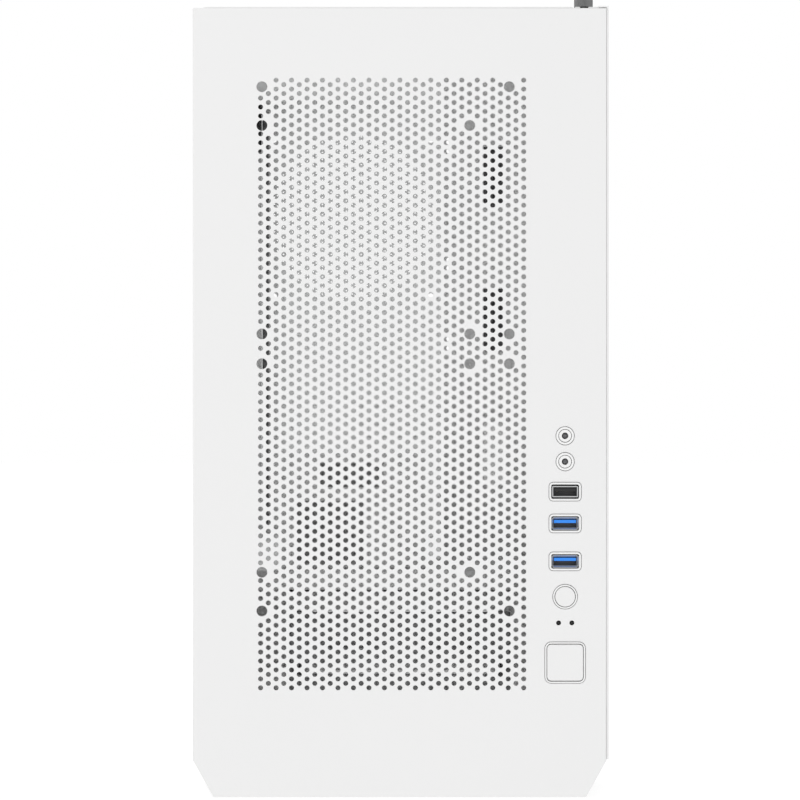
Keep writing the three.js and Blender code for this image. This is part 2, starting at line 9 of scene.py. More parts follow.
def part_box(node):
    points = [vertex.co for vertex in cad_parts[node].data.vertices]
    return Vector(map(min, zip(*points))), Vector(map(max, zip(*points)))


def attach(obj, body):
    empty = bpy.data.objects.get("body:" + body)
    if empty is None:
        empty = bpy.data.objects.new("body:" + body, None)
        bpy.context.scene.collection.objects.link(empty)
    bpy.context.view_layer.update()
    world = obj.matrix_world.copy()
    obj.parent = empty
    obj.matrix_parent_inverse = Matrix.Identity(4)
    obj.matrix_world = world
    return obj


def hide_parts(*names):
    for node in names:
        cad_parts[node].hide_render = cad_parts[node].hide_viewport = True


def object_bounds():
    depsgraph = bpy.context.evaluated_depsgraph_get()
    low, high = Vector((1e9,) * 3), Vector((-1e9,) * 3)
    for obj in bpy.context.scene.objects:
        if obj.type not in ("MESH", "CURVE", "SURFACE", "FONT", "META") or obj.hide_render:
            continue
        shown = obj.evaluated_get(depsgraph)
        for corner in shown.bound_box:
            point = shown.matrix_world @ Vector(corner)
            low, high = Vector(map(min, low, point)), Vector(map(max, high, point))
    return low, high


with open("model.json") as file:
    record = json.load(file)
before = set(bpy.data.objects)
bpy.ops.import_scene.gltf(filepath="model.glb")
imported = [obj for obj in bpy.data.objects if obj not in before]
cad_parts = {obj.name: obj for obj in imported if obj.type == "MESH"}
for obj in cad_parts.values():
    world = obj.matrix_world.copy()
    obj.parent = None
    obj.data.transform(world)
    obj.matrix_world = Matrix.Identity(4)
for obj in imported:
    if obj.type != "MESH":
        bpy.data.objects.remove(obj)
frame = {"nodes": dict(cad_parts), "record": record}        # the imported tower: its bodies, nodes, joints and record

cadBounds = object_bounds()
scene = bpy.context.scene
record = frame["record"]
bodyOfNode = {node: body for body, nodes in record["behaviour"]["bodies"].items() for node in nodes}
slotOfNode = {part["node"]: part["material_slot"] for part in record["subparts"]}
mm = 0.001
upright = Matrix.Rotation(pi / 2, 4, "X")    # turns a flat sheet's up side to the front
print("frame loaded:", len(frame["nodes"]), "nodes")


# Node trees, written as expressions

def arithmetic(operation, reflected=False):
    def apply(wire, other):
        left, right = (other, wire) if reflected else (wire, other)
        return wire.maths(operation, left, right)
    return apply


class Wire:
    # one output socket of a node, with arithmetic on it
    def __init__(self, tree, socket):
        self.tree = tree
        self.socket = socket

    def beside(self, name):
        return Wire(self.tree, self.socket.node.outputs[name])

    def maths(self, operation, left, right):
        node = self.tree.nodes.new("ShaderNodeMath")
        node.operation = operation
        plug(self.tree, node.inputs[0], left)
        plug(self.tree, node.inputs[1], right)
        return Wire(self.tree, node.outputs[0])

    __add__ = arithmetic("ADD")
    __radd__ = arithmetic("ADD", reflected=True)
    __sub__ = arithmetic("SUBTRACT")
    __rsub__ = arithmetic("SUBTRACT", reflected=True)
    __mul__ = arithmetic("MULTIPLY")
    __rmul__ = arithmetic("MULTIPLY", reflected=True)
    __truediv__ = arithmetic("DIVIDE")
    __mod__ = arithmetic("FLOORED_MODULO")
    __gt__ = arithmetic("GREATER_THAN")
    __lt__ = arithmetic("LESS_THAN")


def plug(tree, socket, value):
    if isinstance(value, Wire):
        tree.links.new(value.socket, socket)
    elif isinstance(value, list):
        for one in value:
            plug(tree, socket, one)
    elif socket.type == "RGBA":
        socket.default_value = (*value[:3], 1.0)
    else:
        socket.default_value = value


class NodeSheet:
    # a shader or geometry tree that nodes are added to
    def __init__(self, tree):
        self.tree = tree

    def add(self, kind, settings=None, sockets=None, output=0):
        node = self.tree.nodes.new(kind)
        for name, value in (settings or {}).items():
            setattr(node, name, value)
        for key, value in (sockets or {}).items():
            plug(self.tree, node.inputs[key], value)
        return Wire(self.tree, node.outputs[output]) if len(node.outputs) else node


# Finishes

def newFinish(name):
    finish = bpy.data.materials.new(name)
    finish.use_nodes = True
    finish.node_tree.nodes.clear()
    return finish, NodeSheet(finish.node_tree)


def objectPlace(sheet):
    return sheet.add("ShaderNodeTexCoord", output="Object")


def noise(sheet, place, scale, detail=2.0, stretch=(1.0, 1.0, 1.0)):
    if stretch != (1.0, 1.0, 1.0):
        place = sheet.add("ShaderNodeMapping", sockets={"Vector": place, "Scale": stretch})
    return sheet.add("ShaderNodeTexNoise", sockets={"Vector": place, "Scale": scale, "Detail": detail})


def blended(sheet, share, first, second):
    # a colour between two others
    return sheet.add("ShaderNodeMix", {"data_type": "RGBA"}, {"Factor": share, 6: first, 7: second}, output=2)


def bumped(sheet, strength, distance, height):
    return sheet.add("ShaderNodeBump", sockets={"Strength": strength, "Distance": distance, "Height": height})


def vector(sheet, parts):
    return sheet.add("ShaderNodeCombineXYZ", sockets=parts)


def surface(sheet, sockets):
    shader = sheet.add("ShaderNodeBsdfPrincipled", sockets=sockets)
    sheet.add("ShaderNodeOutputMaterial", sockets={"Surface": shader})


def grainyFinish(name, values):
    # paint or plastic: a slow drift of colour, a finer one of gloss, and a fine raised grain
    finish, sheet = newFinish(name)
    place = objectPlace(sheet)
    drift = noise(sheet, place, values["driftScale"], 3.0)
    grain = noise(sheet, place, values["grainScale"], 2.0)
    surface(sheet, {
        "Base Color": blended(sheet, drift, values["colour"], values["otherColour"]),
        "Roughness": values["roughness"] + values["glossSpread"] * (grain - 0.5),
        "Specular IOR Level": values["specular"],
        "Normal": bumped(sheet, values["grainStrength"], values["grainHeight"], grain),
    })
    return finish


powderCoat = {
    "colour": (0.848, 0.848, 0.848), "otherColour": (0.864, 0.864, 0.862), "driftScale": 9.0,
    "grainScale": 1900.0, "grainStrength": 0.22, "grainHeight": 0.02 * mm,
    "roughness": 0.46, "glossSpread": 0.12, "specular": 0.45,
}

satinWhite = {
    "colour": (0.90, 0.90, 0.897), "otherColour": (0.915, 0.915, 0.913), "driftScale": 20.0,
    "grainScale": 2600.0, "grainStrength": 0.1, "grainHeight": 0.01 * mm,
    "roughness": 0.32, "glossSpread": 0.08, "specular": 0.5,
}

buttonWhite = {
    "colour": (0.848, 0.848, 0.846), "otherColour": (0.864, 0.864, 0.862), "driftScale": 30.0,
    "grainScale": 2600.0, "grainStrength": 0.1, "grainHeight": 0.01 * mm,
    "roughness": 0.36, "glossSpread": 0.08, "specular": 0.45,
}

midGrey = {
    "colour": (0.52, 0.525, 0.53), "otherColour": (0.58, 0.585, 0.59), "driftScale": 25.0,
    "grainScale": 1500.0, "grainStrength": 0.4, "grainHeight": 0.05 * mm,
    "roughness": 0.55, "glossSpread": 0.15, "specular": 0.4,
}

satinBlack = {
    "colour": (0.010, 0.010, 0.0105), "otherColour": (0.016, 0.016, 0.017), "driftScale": 30.0,
    "grainScale": 1800.0, "grainStrength": 0.35, "grainHeight": 0.04 * mm,
    "roughness": 0.42, "glossSpread": 0.15, "specular": 0.45,
}

# a dark lining: in the socket mouths it is painted shade over the steel walls and back, in the jacks the cores' own
# dark grey
shadeLiningAndJackCore = {
    "colour": (0.13, 0.132, 0.138), "otherColour": (0.15, 0.152, 0.158), "driftScale": 60.0,
    "grainScale": 2600.0, "grainStrength": 0.2, "grainHeight": 0.02 * mm,
    "roughness": 0.5, "glossSpread": 0.1, "specular": 0.35,
}

socketBlue = {
    "colour": (0.028, 0.27, 0.95), "otherColour": (0.04, 0.30, 1.0), "driftScale": 60.0,
    "grainScale": 3000.0, "grainStrength": 0.1, "grainHeight": 0.01 * mm,
    "roughness": 0.35, "glossSpread": 0.08, "specular": 0.4,
}

matRubber = {
    "colour": (0.115, 0.115, 0.117), "otherColour": (0.145, 0.145, 0.147), "driftScale": 40.0,
    "grainScale": 1200.0, "grainStrength": 0.5, "grainHeight": 0.08 * mm,
    "roughness": 0.82, "glossSpread": 0.15, "specular": 0.3,
}


brightZinc = {"colour": (0.50, 0.505, 0.51), "otherColour": (0.62, 0.625, 0.63), "roughness": 0.27}
darkNickel = {"colour": (0.21, 0.21, 0.212), "otherColour": (0.27, 0.27, 0.272), "roughness": 0.36}


def platedSteel(name, values):
    # plating with a faint cloudiness and fine brush marks
    finish, sheet = newFinish(name)
    place = objectPlace(sheet)
    cloud = noise(sheet, place, 160.0, 4.0)
    brush = noise(sheet, place, 700.0, 3.0, stretch=(1.0, 1.0, 9.0))
    surface(sheet, {
        "Base Color": blended(sheet, cloud, values["colour"], values["otherColour"]),
        "Metallic": 1.0,
        "Roughness": values["roughness"] + 0.16 * brush,
        "Normal": bumped(sheet, 0.15, 0.01 * mm, brush),
    })
    return finish


def contactGold():
    finish, sheet = newFinish("contactGold")
    wear = noise(sheet, objectPlace(sheet), 900.0, 3.0)
    surface(sheet, {
        "Base Color": blended(sheet, wear, (0.78, 0.55, 0.22), (0.86, 0.66, 0.33)),
        "Metallic": 1.0,
        "Roughness": 0.22 + 0.15 * wear,
    })
    return finish


glassBorder = {
    "width": 9.0 * mm, "softness": 0.4 * mm, "paint": (0.82, 0.82, 0.82), "tint": (0.22, 0.28, 0.27),
    "clearAlpha": 0.11, "edgeGloss": 0.35,
}


def doorGlass():
    # clear sheet with a white border printed round its edge
    values = glassBorder
    low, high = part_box("door_glass")
    middle, half = (low + high) / 2, (high - low) / 2
    finish, sheet = newFinish("borderedGlass")
    place = objectPlace(sheet)
    split = sheet.add("ShaderNodeSeparateXYZ", sockets={"Vector": place}, output="Y")
    fromSide = half.y - split.maths("ABSOLUTE", split - middle.y, 0.0)
    fromEnd = half.z - split.maths("ABSOLUTE", split.beside("Z") - middle.z, 0.0)
    nearest = split.maths("MINIMUM", fromSide, fromEnd)
    printed = sheet.add("ShaderNodeMapRange", {"clamp": True}, {
        "Value": nearest,
        "From Min": values["width"] + values["softness"], "From Max": values["width"],
        "To Min": 0.0, "To Max": 1.0,
    })
    smear = noise(sheet, place, 14.0, 4.0)
    rim = sheet.add("ShaderNodeLayerWeight", sockets={"Blend": 0.25}, output="Fresnel")
    clear = values["clearAlpha"] + values["edgeGloss"] * rim
    surface(sheet, {
        "Base Color": blended(sheet, printed, values["tint"], values["paint"]),
        "Roughness": 0.03 + 0.03 * smear + 0.22 * printed,
        "Alpha": sheet.add("ShaderNodeMix", {"data_type": "FLOAT"}, {"Factor": printed, 2: clear, 3: 1.0}),
        "IOR": 1.5,
    })
    return finish


def nylonNet():
    finish, sheet = newFinish("nylonNet")
    place = objectPlace(sheet)
    twist = noise(sheet, place, 2400.0, 2.0)
    drift = noise(sheet, place, 18.0, 3.0)
    surface(sheet, {
        "Base Color": blended(sheet, drift, (0.70, 0.70, 0.70), (0.76, 0.76, 0.76)),
        "Roughness": 0.5 + 0.2 * twist,
        "Normal": bumped(sheet, 0.3, 0.03 * mm, twist),
    })
    return finish


def solderMask():
    # dark board with fine copper tracks under the mask
    finish, sheet = newFinish("solderMask")
    place = objectPlace(sheet)
    turned = sheet.add("ShaderNodeMapping", sockets={"Vector": place, "Rotation": (pi / 2, 0.0, 0.0)})
    tracks = sheet.add("ShaderNodeTexBrick", {"offset": 0.37}, {
        "Vector": turned, "Scale": 260.0, "Mortar Size": 0.03, "Color1": (0.0, 0.0, 0.0),
        "Color2": (0.25, 0.25, 0.25), "Mortar": (1.0, 1.0, 1.0),
    })
    share = sheet.add("ShaderNodeRGBToBW", sockets={"Color": tracks})
    surface(sheet, {
        "Base Color": blended(sheet, share, (0.008, 0.018, 0.012), (0.02, 0.05, 0.03)),
        "Roughness": 0.38 + 0.1 * share,
        "Normal": bumped(sheet, 0.4, 0.03 * mm, share),
    })
    return finish


finishes = {
    "white_steel": grainyFinish("whitePowderCoat", powderCoat),
    "white_plastic": grainyFinish("satinWhitePlastic", satinWhite),
    "grey_plastic": grainyFinish("greyPlastic", midGrey),
    "black_plastic": grainyFinish("blackPlastic", satinBlack),
    "blue_plastic": grainyFinish("bluePlastic", socketBlue),
    "rubber": grainyFinish("blackRubber", matRubber),
    "clear_glass": doorGlass(),
    "plain_steel": platedSteel("brightZinc", brightZinc),
    "filter_mesh": nylonNet(),
    "circuit_board": solderMask(),
}
gold = contactGold()
screwFinish = platedSteel("darkNickel", darkNickel)
buttonFinish = grainyFinish("buttonWhite", buttonWhite)
# painted shade inside the socket mouths, and the colour of the jack cores
shadeLiningAndCoreFinish = grainyFinish("shadeLiningAndJackCore", shadeLiningAndJackCore)
print("finishes made:", len(finishes) + 4)


# Geometry trees

def geometryTree(name, inputs):
    tree = bpy.data.node_groups.new(name, "GeometryNodeTree")
    tree.interface.new_socket(name="Geometry", in_out="INPUT", socket_type="NodeSocketGeometry")
    for label, kind in inputs.items():
        tree.interface.new_socket(name=label, in_out="INPUT", socket_type="NodeSocket" + kind)
    tree.interface.new_socket(name="Geometry", in_out="OUTPUT", socket_type="NodeSocketGeometry")
    given = tree.nodes.new("NodeGroupInput")
    return NodeSheet(tree), {socket.name: Wire(tree, socket) for socket in given.outputs if socket.name}


def closeTree(sheet, geometry, finish):
    whole = sheet.add("GeometryNodeRealizeInstances", sockets={"Geometry": geometry})
    painted = sheet.add("GeometryNodeSetMaterial", sockets={"Geometry": whole, "Material": finish})
    sheet.add("NodeGroupOutput", sockets={0: painted})
    return sheet.tree


def grown(name, start, tree, values, place=None):
    # runs a geometry tree on a mesh and gives the plain mesh that it makes
    carrier = bpy.data.objects.new(name, start)
    scene.collection.objects.link(carrier)
    modifier = carrier.modifiers.new("tree", "NODES")
    modifier.node_group = tree
    for item in tree.interface.items_tree:
        if item.item_type == "SOCKET" and item.in_out == "INPUT" and item.name in values:
            modifier[item.identifier] = values[item.name]
    return plainMesh(carrier, place)


def plainMesh(carrier, place=None):
    bpy.context.view_layer.update()
    mesh = bpy.data.meshes.new_from_object(carrier.evaluated_get(bpy.context.evaluated_depsgraph_get()))
    bpy.data.objects.remove(carrier)
    if place is not None:
        mesh.transform(place)
    return mesh


def perforatedSheetTree():
    # a flat sheet inside outline loops, with a staggered field of holes and round screw holes.
    # The start mesh holds the loops as edges, and a loose point for each screw hole.
    sheet, given = geometryTree("perforatedSheet", {
        "Column Pitch": "Float", "Hole Pitch": "Float", "Columns": "Int", "Rows": "Int",
        "Field Centre X": "Float", "Field Centre Y": "Float", "Field Radius": "Float",
        "Hole Diameter": "Float", "Hole Sides": "Int",
        "Screw Diameter": "Float", "Screw Clearance": "Float", "Thickness": "Float",
        "Material": "Material",
    })
    neighbours = sheet.add("GeometryNodeInputMeshVertexNeighbors")
    screws = sheet.add("GeometryNodeSeparateGeometry", {"domain": "POINT"}, {
        "Geometry": given["Geometry"], "Selection": neighbours < 0.5,
    })
    outline = sheet.add("GeometryNodeMeshToCurve", sockets={"Mesh": screws.beside("Inverted")})

    height = (given["Rows"] - 1) * given["Hole Pitch"]
    grid = sheet.add("GeometryNodeMeshGrid", sockets={
        "Size X": (given["Columns"] - 1) * given["Column Pitch"], "Size Y": height,
        "Vertices X": given["Columns"], "Vertices Y": given["Rows"],
    })
    index = sheet.add("GeometryNodeInputIndex")
    column = index.maths("FLOOR", (index + 0.5) / given["Rows"], 0.0)
    stagger = (column % 2.0) * given["Hole Pitch"] / 2.0
    lifted = sheet.add("GeometryNodeSetPosition", sockets={
        "Geometry": grid, "Offset": vector(sheet, {"Y": stagger}),
    })
    place = sheet.add("GeometryNodeInputPosition")
    axes = sheet.add("ShaderNodeSeparateXYZ", sockets={"Vector": place}, output="Y")
    tooHigh = axes > (height + given["Hole Pitch"] * 0.5) / 2.0
    length = sheet.add("ShaderNodeVectorMath", {"operation": "LENGTH"}, {0: place}, output="Value")
    tooFar = length > given["Field Radius"]
    field = sheet.add("GeometryNodeDeleteGeometry", {"domain": "POINT"}, {
        "Geometry": lifted, "Selection": tooHigh + tooFar,
    })
    centre = vector(sheet, {"X": given["Field Centre X"], "Y": given["Field Centre Y"]})
    field = sheet.add("GeometryNodeSetPosition", sockets={"Geometry": field, "Offset": centre})
    reach = sheet.add("GeometryNodeProximity", {"target_element": "POINTS"}, {
        0: screws,
    }, output="Distance")
    blocked = (reach < given["Screw Clearance"]) * reach.beside("Is Valid")
    field = sheet.add("GeometryNodeDeleteGeometry", {"domain": "POINT"}, {
        "Geometry": field, "Selection": blocked,
    })

    hole = sheet.add("GeometryNodeCurvePrimitiveCircle", sockets={
        "Resolution": given["Hole Sides"], "Radius": given["Hole Diameter"] / 2.0,
    })
    holes = sheet.add("GeometryNodeInstanceOnPoints", sockets={"Points": field, "Instance": hole})
    screwHole = sheet.add("GeometryNodeCurvePrimitiveCircle", sockets={
        "Resolution": 28, "Radius": given["Screw Diameter"] / 2.0,
    })
    screwHoles = sheet.add("GeometryNodeInstanceOnPoints", sockets={"Points": screws, "Instance": screwHole})
    loops = sheet.add("GeometryNodeRealizeInstances", sockets={
        "Geometry": sheet.add("GeometryNodeJoinGeometry", sockets={0: [outline, holes, screwHoles]}),
    })
    face = sheet.add("GeometryNodeFillCurve", {"mode": "TRIANGLES"}, {"Curve": loops})
    drop = vector(sheet, {"Z": -1.0})
    body = sheet.add("GeometryNodeExtrudeMesh", {"mode": "FACES"}, {
        "Mesh": face, "Offset": drop, "Offset Scale": given["Thickness"], "Individual": False,
    })
    walls = sheet.add("GeometryNodeSetShadeSmooth", {"domain": "FACE"}, {
        "Geometry": body, "Selection": body.beside("Side"), "Shade Smooth": True,
    })
    front = sheet.add("GeometryNodeSetShadeSmooth", {"domain": "FACE"}, {
        "Geometry": sheet.add("GeometryNodeFlipFaces", sockets={"Mesh": face}), "Shade Smooth": False,
    })
    closed = sheet.add("GeometryNodeMergeByDistance", sockets={
        "Geometry": sheet.add("GeometryNodeJoinGeometry", sockets={0: [walls, front]}),
        "Distance": 0.002 * mm,
    })
    return closeTree(sheet, closed, given["Material"])


def knurledHeadTree():
    # a screw head with straight ribs round it, a bevelled top and a dished middle, standing on Z = 0
    sheet, given = geometryTree("knurledHead", {
        "Radius": "Float", "Height": "Float", "Ribs": "Int", "Rib Depth": "Float", "Bevel": "Float",
        "Dish Radius": "Float", "Dish Depth": "Float", "Material": "Material",
    })
    ring = sheet.add("GeometryNodeCurvePrimitiveCircle", sockets={
        "Resolution": given["Ribs"] * 4, "Radius": given["Radius"],
    })
    index = sheet.add("GeometryNodeInputIndex")
    inGroove = ((index % 4.0) > 1.5) * (given["Rib Depth"] / given["Radius"])
    place = sheet.add("GeometryNodeInputPosition")
    inward = sheet.add("ShaderNodeVectorMath", {"operation": "SCALE"}, {0: place, "Scale": 0.0 - inGroove})
    ring = sheet.add("GeometryNodeSetPosition", sockets={"Geometry": ring, "Offset": inward})
    base = sheet.add("GeometryNodeFillCurve", {"mode": "NGONS"}, {"Curve": ring})
    up = vector(sheet, {"Z": 1.0})

    def raised(mesh, selection, height, widening):
        # pulls the chosen face out by height and then changes its size
        pulled = sheet.add("GeometryNodeExtrudeMesh", {"mode": "FACES"}, {
            "Mesh": mesh, "Selection": selection, "Offset": up, "Offset Scale": height, "Individual": False,
        })
        top = pulled.beside("Top")
        scaled = sheet.add("GeometryNodeScaleElements", {"domain": "FACE"}, {
            0: pulled, "Selection": top, "Scale": widening,
        })
        return scaled, top

    bevelShare = 1.0 - given["Bevel"] / given["Radius"]
    dishShare = given["Dish Radius"] / (given["Radius"] - given["Bevel"])
    solid, top = raised(base, True, given["Height"] - given["Bevel"], 1.0)
    solid, top = raised(solid, top, given["Bevel"], bevelShare)
    solid, top = raised(solid, top, 0.0, dishShare)
    solid, top = raised(solid, top, 0.0 - given["Dish Depth"], 0.8)
    under = sheet.add("GeometryNodeFlipFaces", sockets={"Mesh": base})
    closed = sheet.add("GeometryNodeMergeByDistance", sockets={
        "Geometry": sheet.add("GeometryNodeJoinGeometry", sockets={0: [solid, under]}),
        "Distance": 0.002 * mm,
    })
    return closeTree(sheet, closed, given["Material"])


def dustNetTree():
    # two layers of straight threads, one across the other, centred on the origin
    sheet, given = geometryTree("dustNet", {
        "Width": "Float", "Length": "Float", "Pitch": "Float", "Thread": "Float", "Material": "Material",
    })

    def layer(along, across, acrossIsX, height):
        count = across.maths("FLOOR", across / given["Pitch"], 0.0)
        start = 0.0 - (count - 1) * given["Pitch"] / 2.0
        axis = "X" if acrossIsX else "Y"
        points = sheet.add("GeometryNodeMeshLine", {"mode": "OFFSET"}, {
            "Count": count,
            "Start Location": vector(sheet, {axis: start, "Z": height}),
            "Offset": vector(sheet, {axis: given["Pitch"]}),
        })
        size = {"X": given["Thread"], "Y": given["Thread"], "Z": given["Thread"]}
        size["Y" if acrossIsX else "X"] = along
        thread = sheet.add("GeometryNodeMeshCube", sockets={"Size": vector(sheet, size)})
        return sheet.add("GeometryNodeInstanceOnPoints", sockets={"Points": points, "Instance": thread})

    net = sheet.add("GeometryNodeJoinGeometry", sockets={0: [
        layer(given["Length"], given["Width"], True, given["Thread"] * 0.45),
        layer(given["Width"], given["Length"], False, given["Thread"] * -0.45),
    ]})
    return closeTree(sheet, net, given["Material"])


perforatedSheet = perforatedSheetTree()
knurledHead = knurledHeadTree()
dustNet = dustNetTree()
print("geometry trees made")


# Shapes

def rounded(width, height, radius, steps=6):
    # a rounded rectangle, or a circle, as a corner centre and a direction for each point
    isCircle = 2 * radius >= width - 1e-9 and 2 * radius >= height - 1e-9
    points = []
    for corner in range(4):
        u = max(width / 2 - radius, 0) * (1 if corner in (0, 3) else -1)
        v = max(height / 2 - radius, 0) * (1 if corner < 2 else -1)
        for step in range(steps if isCircle else steps + 1):
            angle = (corner + step / steps) * pi / 2
            points.append((u, v, cos(angle), sin(angle)))
    return points, radius


def circle(radius, steps=10):
    return rounded(2 * radius, 2 * radius, radius, steps)


def offsetPoints(outline, centre, offset=0.0):
    points, radius = outline
    reach = radius + offset
    return [(centre[0] + u + du * reach, centre[1] + v + dv * reach) for u, v, du, dv in points]


def rectangle(left, right, low, high):
    return [(left, low), (right, low), (right, high), (left, high)]


def outlineMesh(name, loops, points=()):
    verts, edges = [], []
    for loop in loops:
        first = len(verts)
        verts += [(u, v, 0.0) for u, v in loop]
        edges += [(first + i, first + (i + 1) % len(loop)) for i in range(len(loop))]
    verts += [(u, v, 0.0) for u, v in points]
    mesh = bpy.data.meshes.new(name)
    mesh.from_pydata(verts, edges, [])
    return mesh


toFront = lambda u, v, depth: (u, depth, v)      # outlines in X and Z, depth along Y
toTop = lambda u, v, depth: (u, v, depth)        # outlines in X and Y, depth along Z


def moulding(shape, outline, centre, profile, facing, smooth=True):
    # rings of the outline, one for each (offset, depth) of the profile, skinned one to the next
    rings = []
    for offset, depth in profile:
        ring = [shape.verts.new(facing(u, v, depth)) for u, v in offsetPoints(outline, centre, offset)]
        rings.append(ring)
    count = len(rings[0])
    for near, far in zip(rings, rings[1:]):
        for i in range(count):
            j = (i + 1) % count
            face = shape.faces.new((near[i], near[j], far[j], far[i]))
            face.smooth = smooth
    return rings


def ringEdges(shape, ring):
    edges = []
    for i, vert in enumerate(ring):
        pair = (vert, ring[(i + 1) % len(ring)])
        edges.append(shape.edges.get(pair) or shape.edges.new(pair))
    return edges


def fillBetween(shape, rings):
    edges = [edge for ring in rings for edge in ringEdges(shape, ring)]
    bmesh.ops.triangle_fill(shape, use_beauty=True, use_dissolve=False, edges=edges)


def capped(shape, ring):
    shape.faces.new(ring).smooth = False


def quarterTurn(steps):
    # 1 - cosine and 1 - sine at even steps through a right angle
    angles = [i / steps * pi / 2 for i in range(steps + 1)]
    return [(1 - cos(angle), 1 - sin(angle)) for angle in angles]


def roundedProfile(fromOffset, toOffset, wallStart, wallEnd, front, edge, steps=4):
    # up the outside wall, over a rounded lip and down the inside wall
    arc = quarterTurn(steps)
    outside = [(fromOffset - edge * run, front + edge * rise) for run, rise in arc]
    inside = [(toOffset + edge * rise, front + edge * run) for run, rise in arc]
    return [(fromOffset, wallStart), *outside, *inside, (toOffset, wallEnd)]


def blockInto(shape, low, high):
    corners = bmesh.ops.create_cube(shape, size=1.0)["verts"]
    middle, size = (Vector(low) + Vector(high)) / 2, Vector(high) - Vector(low)
    for vert in corners:
        vert.co = Vector([vert.co[i] * size[i] + middle[i] for i in range(3)])
    return corners


def paintNew(shape, before):
    # the faces added since go to the second finish
    for face in set(shape.faces) - before:
        face.material_index = 1


def meshFrom(shape, name):
    bmesh.ops.remove_doubles(shape, verts=shape.verts, dist=0.002 * mm)
    bmesh.ops.recalc_face_normals(shape, faces=shape.faces)
    mesh = bpy.data.meshes.new(name)
    shape.to_mesh(mesh)
    shape.free()
    return mesh


def bevelled(name, mesh, width, steps=2):
    mesh.polygons.foreach_set("use_smooth", [True] * len(mesh.polygons))
    carrier = bpy.data.objects.new(name, mesh)
    scene.collection.objects.link(carrier)
    bevel = carrier.modifiers.new("bevel", "BEVEL")
    bevel.width = width
    bevel.segments = steps
    bevel.limit_method = "ANGLE"
    bevel.angle_limit = radians(38)
    bevel.harden_normals = True
    return plainMesh(carrier)


def addPiece(name, mesh, node, extraFinishes=()):
    # a finished piece that stands for a CAD node: same body, and the node's finish where the mesh has none of its own
    mesh.name = name
    if not len(mesh.materials):
        mesh.materials.append(finishes[slotOfNode[node]])
    for extra in extraFinishes:
        mesh.materials.append(extra)
    piece = bpy.data.objects.new(name, mesh)
    scene.collection.objects.link(piece)
    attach(piece, bodyOfNode[node])
    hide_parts(node)
    return piece


def softened(name, node, width=0.2 * mm, steps=2):
    # the CAD node's own shape with its edges rounded
    shape = bmesh.new()
    shape.from_mesh(frame["nodes"][node].data)
    for layer in list(shape.loops.layers.uv):
        shape.loops.layers.uv.remove(layer)
    bmesh.ops.remove_doubles(shape, verts=shape.verts, dist=0.002 * mm)
    bmesh.ops.dissolve_limit(shape, angle_limit=radians(1), verts=shape.verts, edges=shape.edges)
    mesh = bpy.data.meshes.new(name)
    shape.to_mesh(mesh)
    shape.free()
    mesh.materials.append(finishes[slotOfNode[node]])
    return addPiece(name, bevelled(name, mesh, width, steps), node)


def boxOf(node):
    # lowest corner, highest corner and middle
    low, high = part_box(node)
    return low, high, (low + high) / 2


def middleOf(node):
    return boxOf(node)[2]


def camelCase(node):
    first, *rest = node.split("_")
    return first + "".join(word.capitalize() for word in rest)


def perforatedShape(node, values, loops, screws, place):
    # a panel's flat sheet with its holes, ready for what is folded from it
    flat = grown("flatSheet", outlineMesh("outline", loops, screws), perforatedSheet, {
        "Column Pitch": values["columnPitch"], "Hole Pitch": values["holePitch"],
        "Columns": values["columns"], "Rows": values["rows"],
        "Field Centre X": values["fieldX"], "Field Centre Y": values["fieldY"],
        "Field Radius": values["fieldRadius"], "Hole Diameter": values["holeDiameter"],
        "Hole Sides": values["holeSides"], "Screw Diameter": values["screwDiameter"],
        "Screw Clearance": values["screwClearance"], "Thickness": values["sheet"],
        "Material": finishes[slotOfNode[node]],
    }, place)
    shape = bmesh.new()
    shape.from_mesh(flat)
    return shape


# Front panel

frontPanelSizes = {
    "sheet": 1.0 * mm, "bendRadius": 0.6 * mm, "bendSteps": 5, "returnDepth": 16 * mm,
    "cornerRise": 19.1 * mm, "cornerRun": 10.4 * mm,       # the two lower corners are cut off
    "rightReach": 0.2 * mm,                                # closes most of the seam to the side panel
    "columns": 35, "rows": 69, "columnPitch": 3.897 * mm, "holePitch": 4.5 * mm,
    "holeDiameter": 2.62 * mm, "holeSides": 12, "fieldX": -4.0 * mm, "fieldY": 208.4 * mm,
    "fieldRadius": 1.0, "screwDiameter": 5.5 * mm, "screwClearance": 4.38 * mm,
    "fanLeft": -69.6 * mm, "fan120Right": 35.1 * mm, "fan140Right": 55 * mm,
    "fan120Heights": (338.6 * mm, 233.6 * mm, 218.6 * mm, 113.6 * mm),
    "fan140Heights": (358.1 * mm, 233.6 * mm, 218.6 * mm, 94.1 * mm),
    # three holes of the field stay although they come close to a screw hole
    "keptHoles": ((-70.249 * mm, 334.4 * mm), (31.073 * mm, 217.4 * mm), (-70.249 * mm, 109.4 * mm)),
}

portNodes = {
    "jacks": ("headphone_jack", "microphone_jack"),
    "sockets": ("usb_upper_shell", "usb_middle_shell", "usb_lower_shell"),
    "lamps": ("led_lens_left", "led_lens_right"),
}

portSizes = {
    "panelGap": 0.3 * mm, "lipEdge": 0.45 * mm,
    "jackBoss": 4.5 * mm, "jackBore": 3.4 * mm,
    "socketBoss": (16.0 * mm, 9.2 * mm, 1.9 * mm), "socketWall": 1.0 * mm,
    "resetBoss": 6.1 * mm, "resetBore": 5.35 * mm,
    "powerBoss": (20.2 * mm, 20.6 * mm, 3.1 * mm), "powerWall": 0.75 * mm,
    "lampHole": 1.25 * mm,
}


def portOutlines():
    # every boss of the port column: its outline, its centre and the width of its lip
    values = portSizes
    bosses = []
    for node in portNodes["jacks"]:
        bosses.append((circle(values["jackBoss"]), middleOf(node), values["jackBoss"] - values["jackBore"]))
    for node in portNodes["sockets"]:
        bosses.append((rounded(*values["socketBoss"]), middleOf(node), values["socketWall"]))
    resetWall = values["resetBoss"] - values["resetBore"]
    bosses.append((circle(values["resetBoss"], 12), middleOf("reset_button"), resetWall))
    bosses.append((rounded(*values["powerBoss"]), middleOf("power_button"), values["powerWall"]))
    return bosses


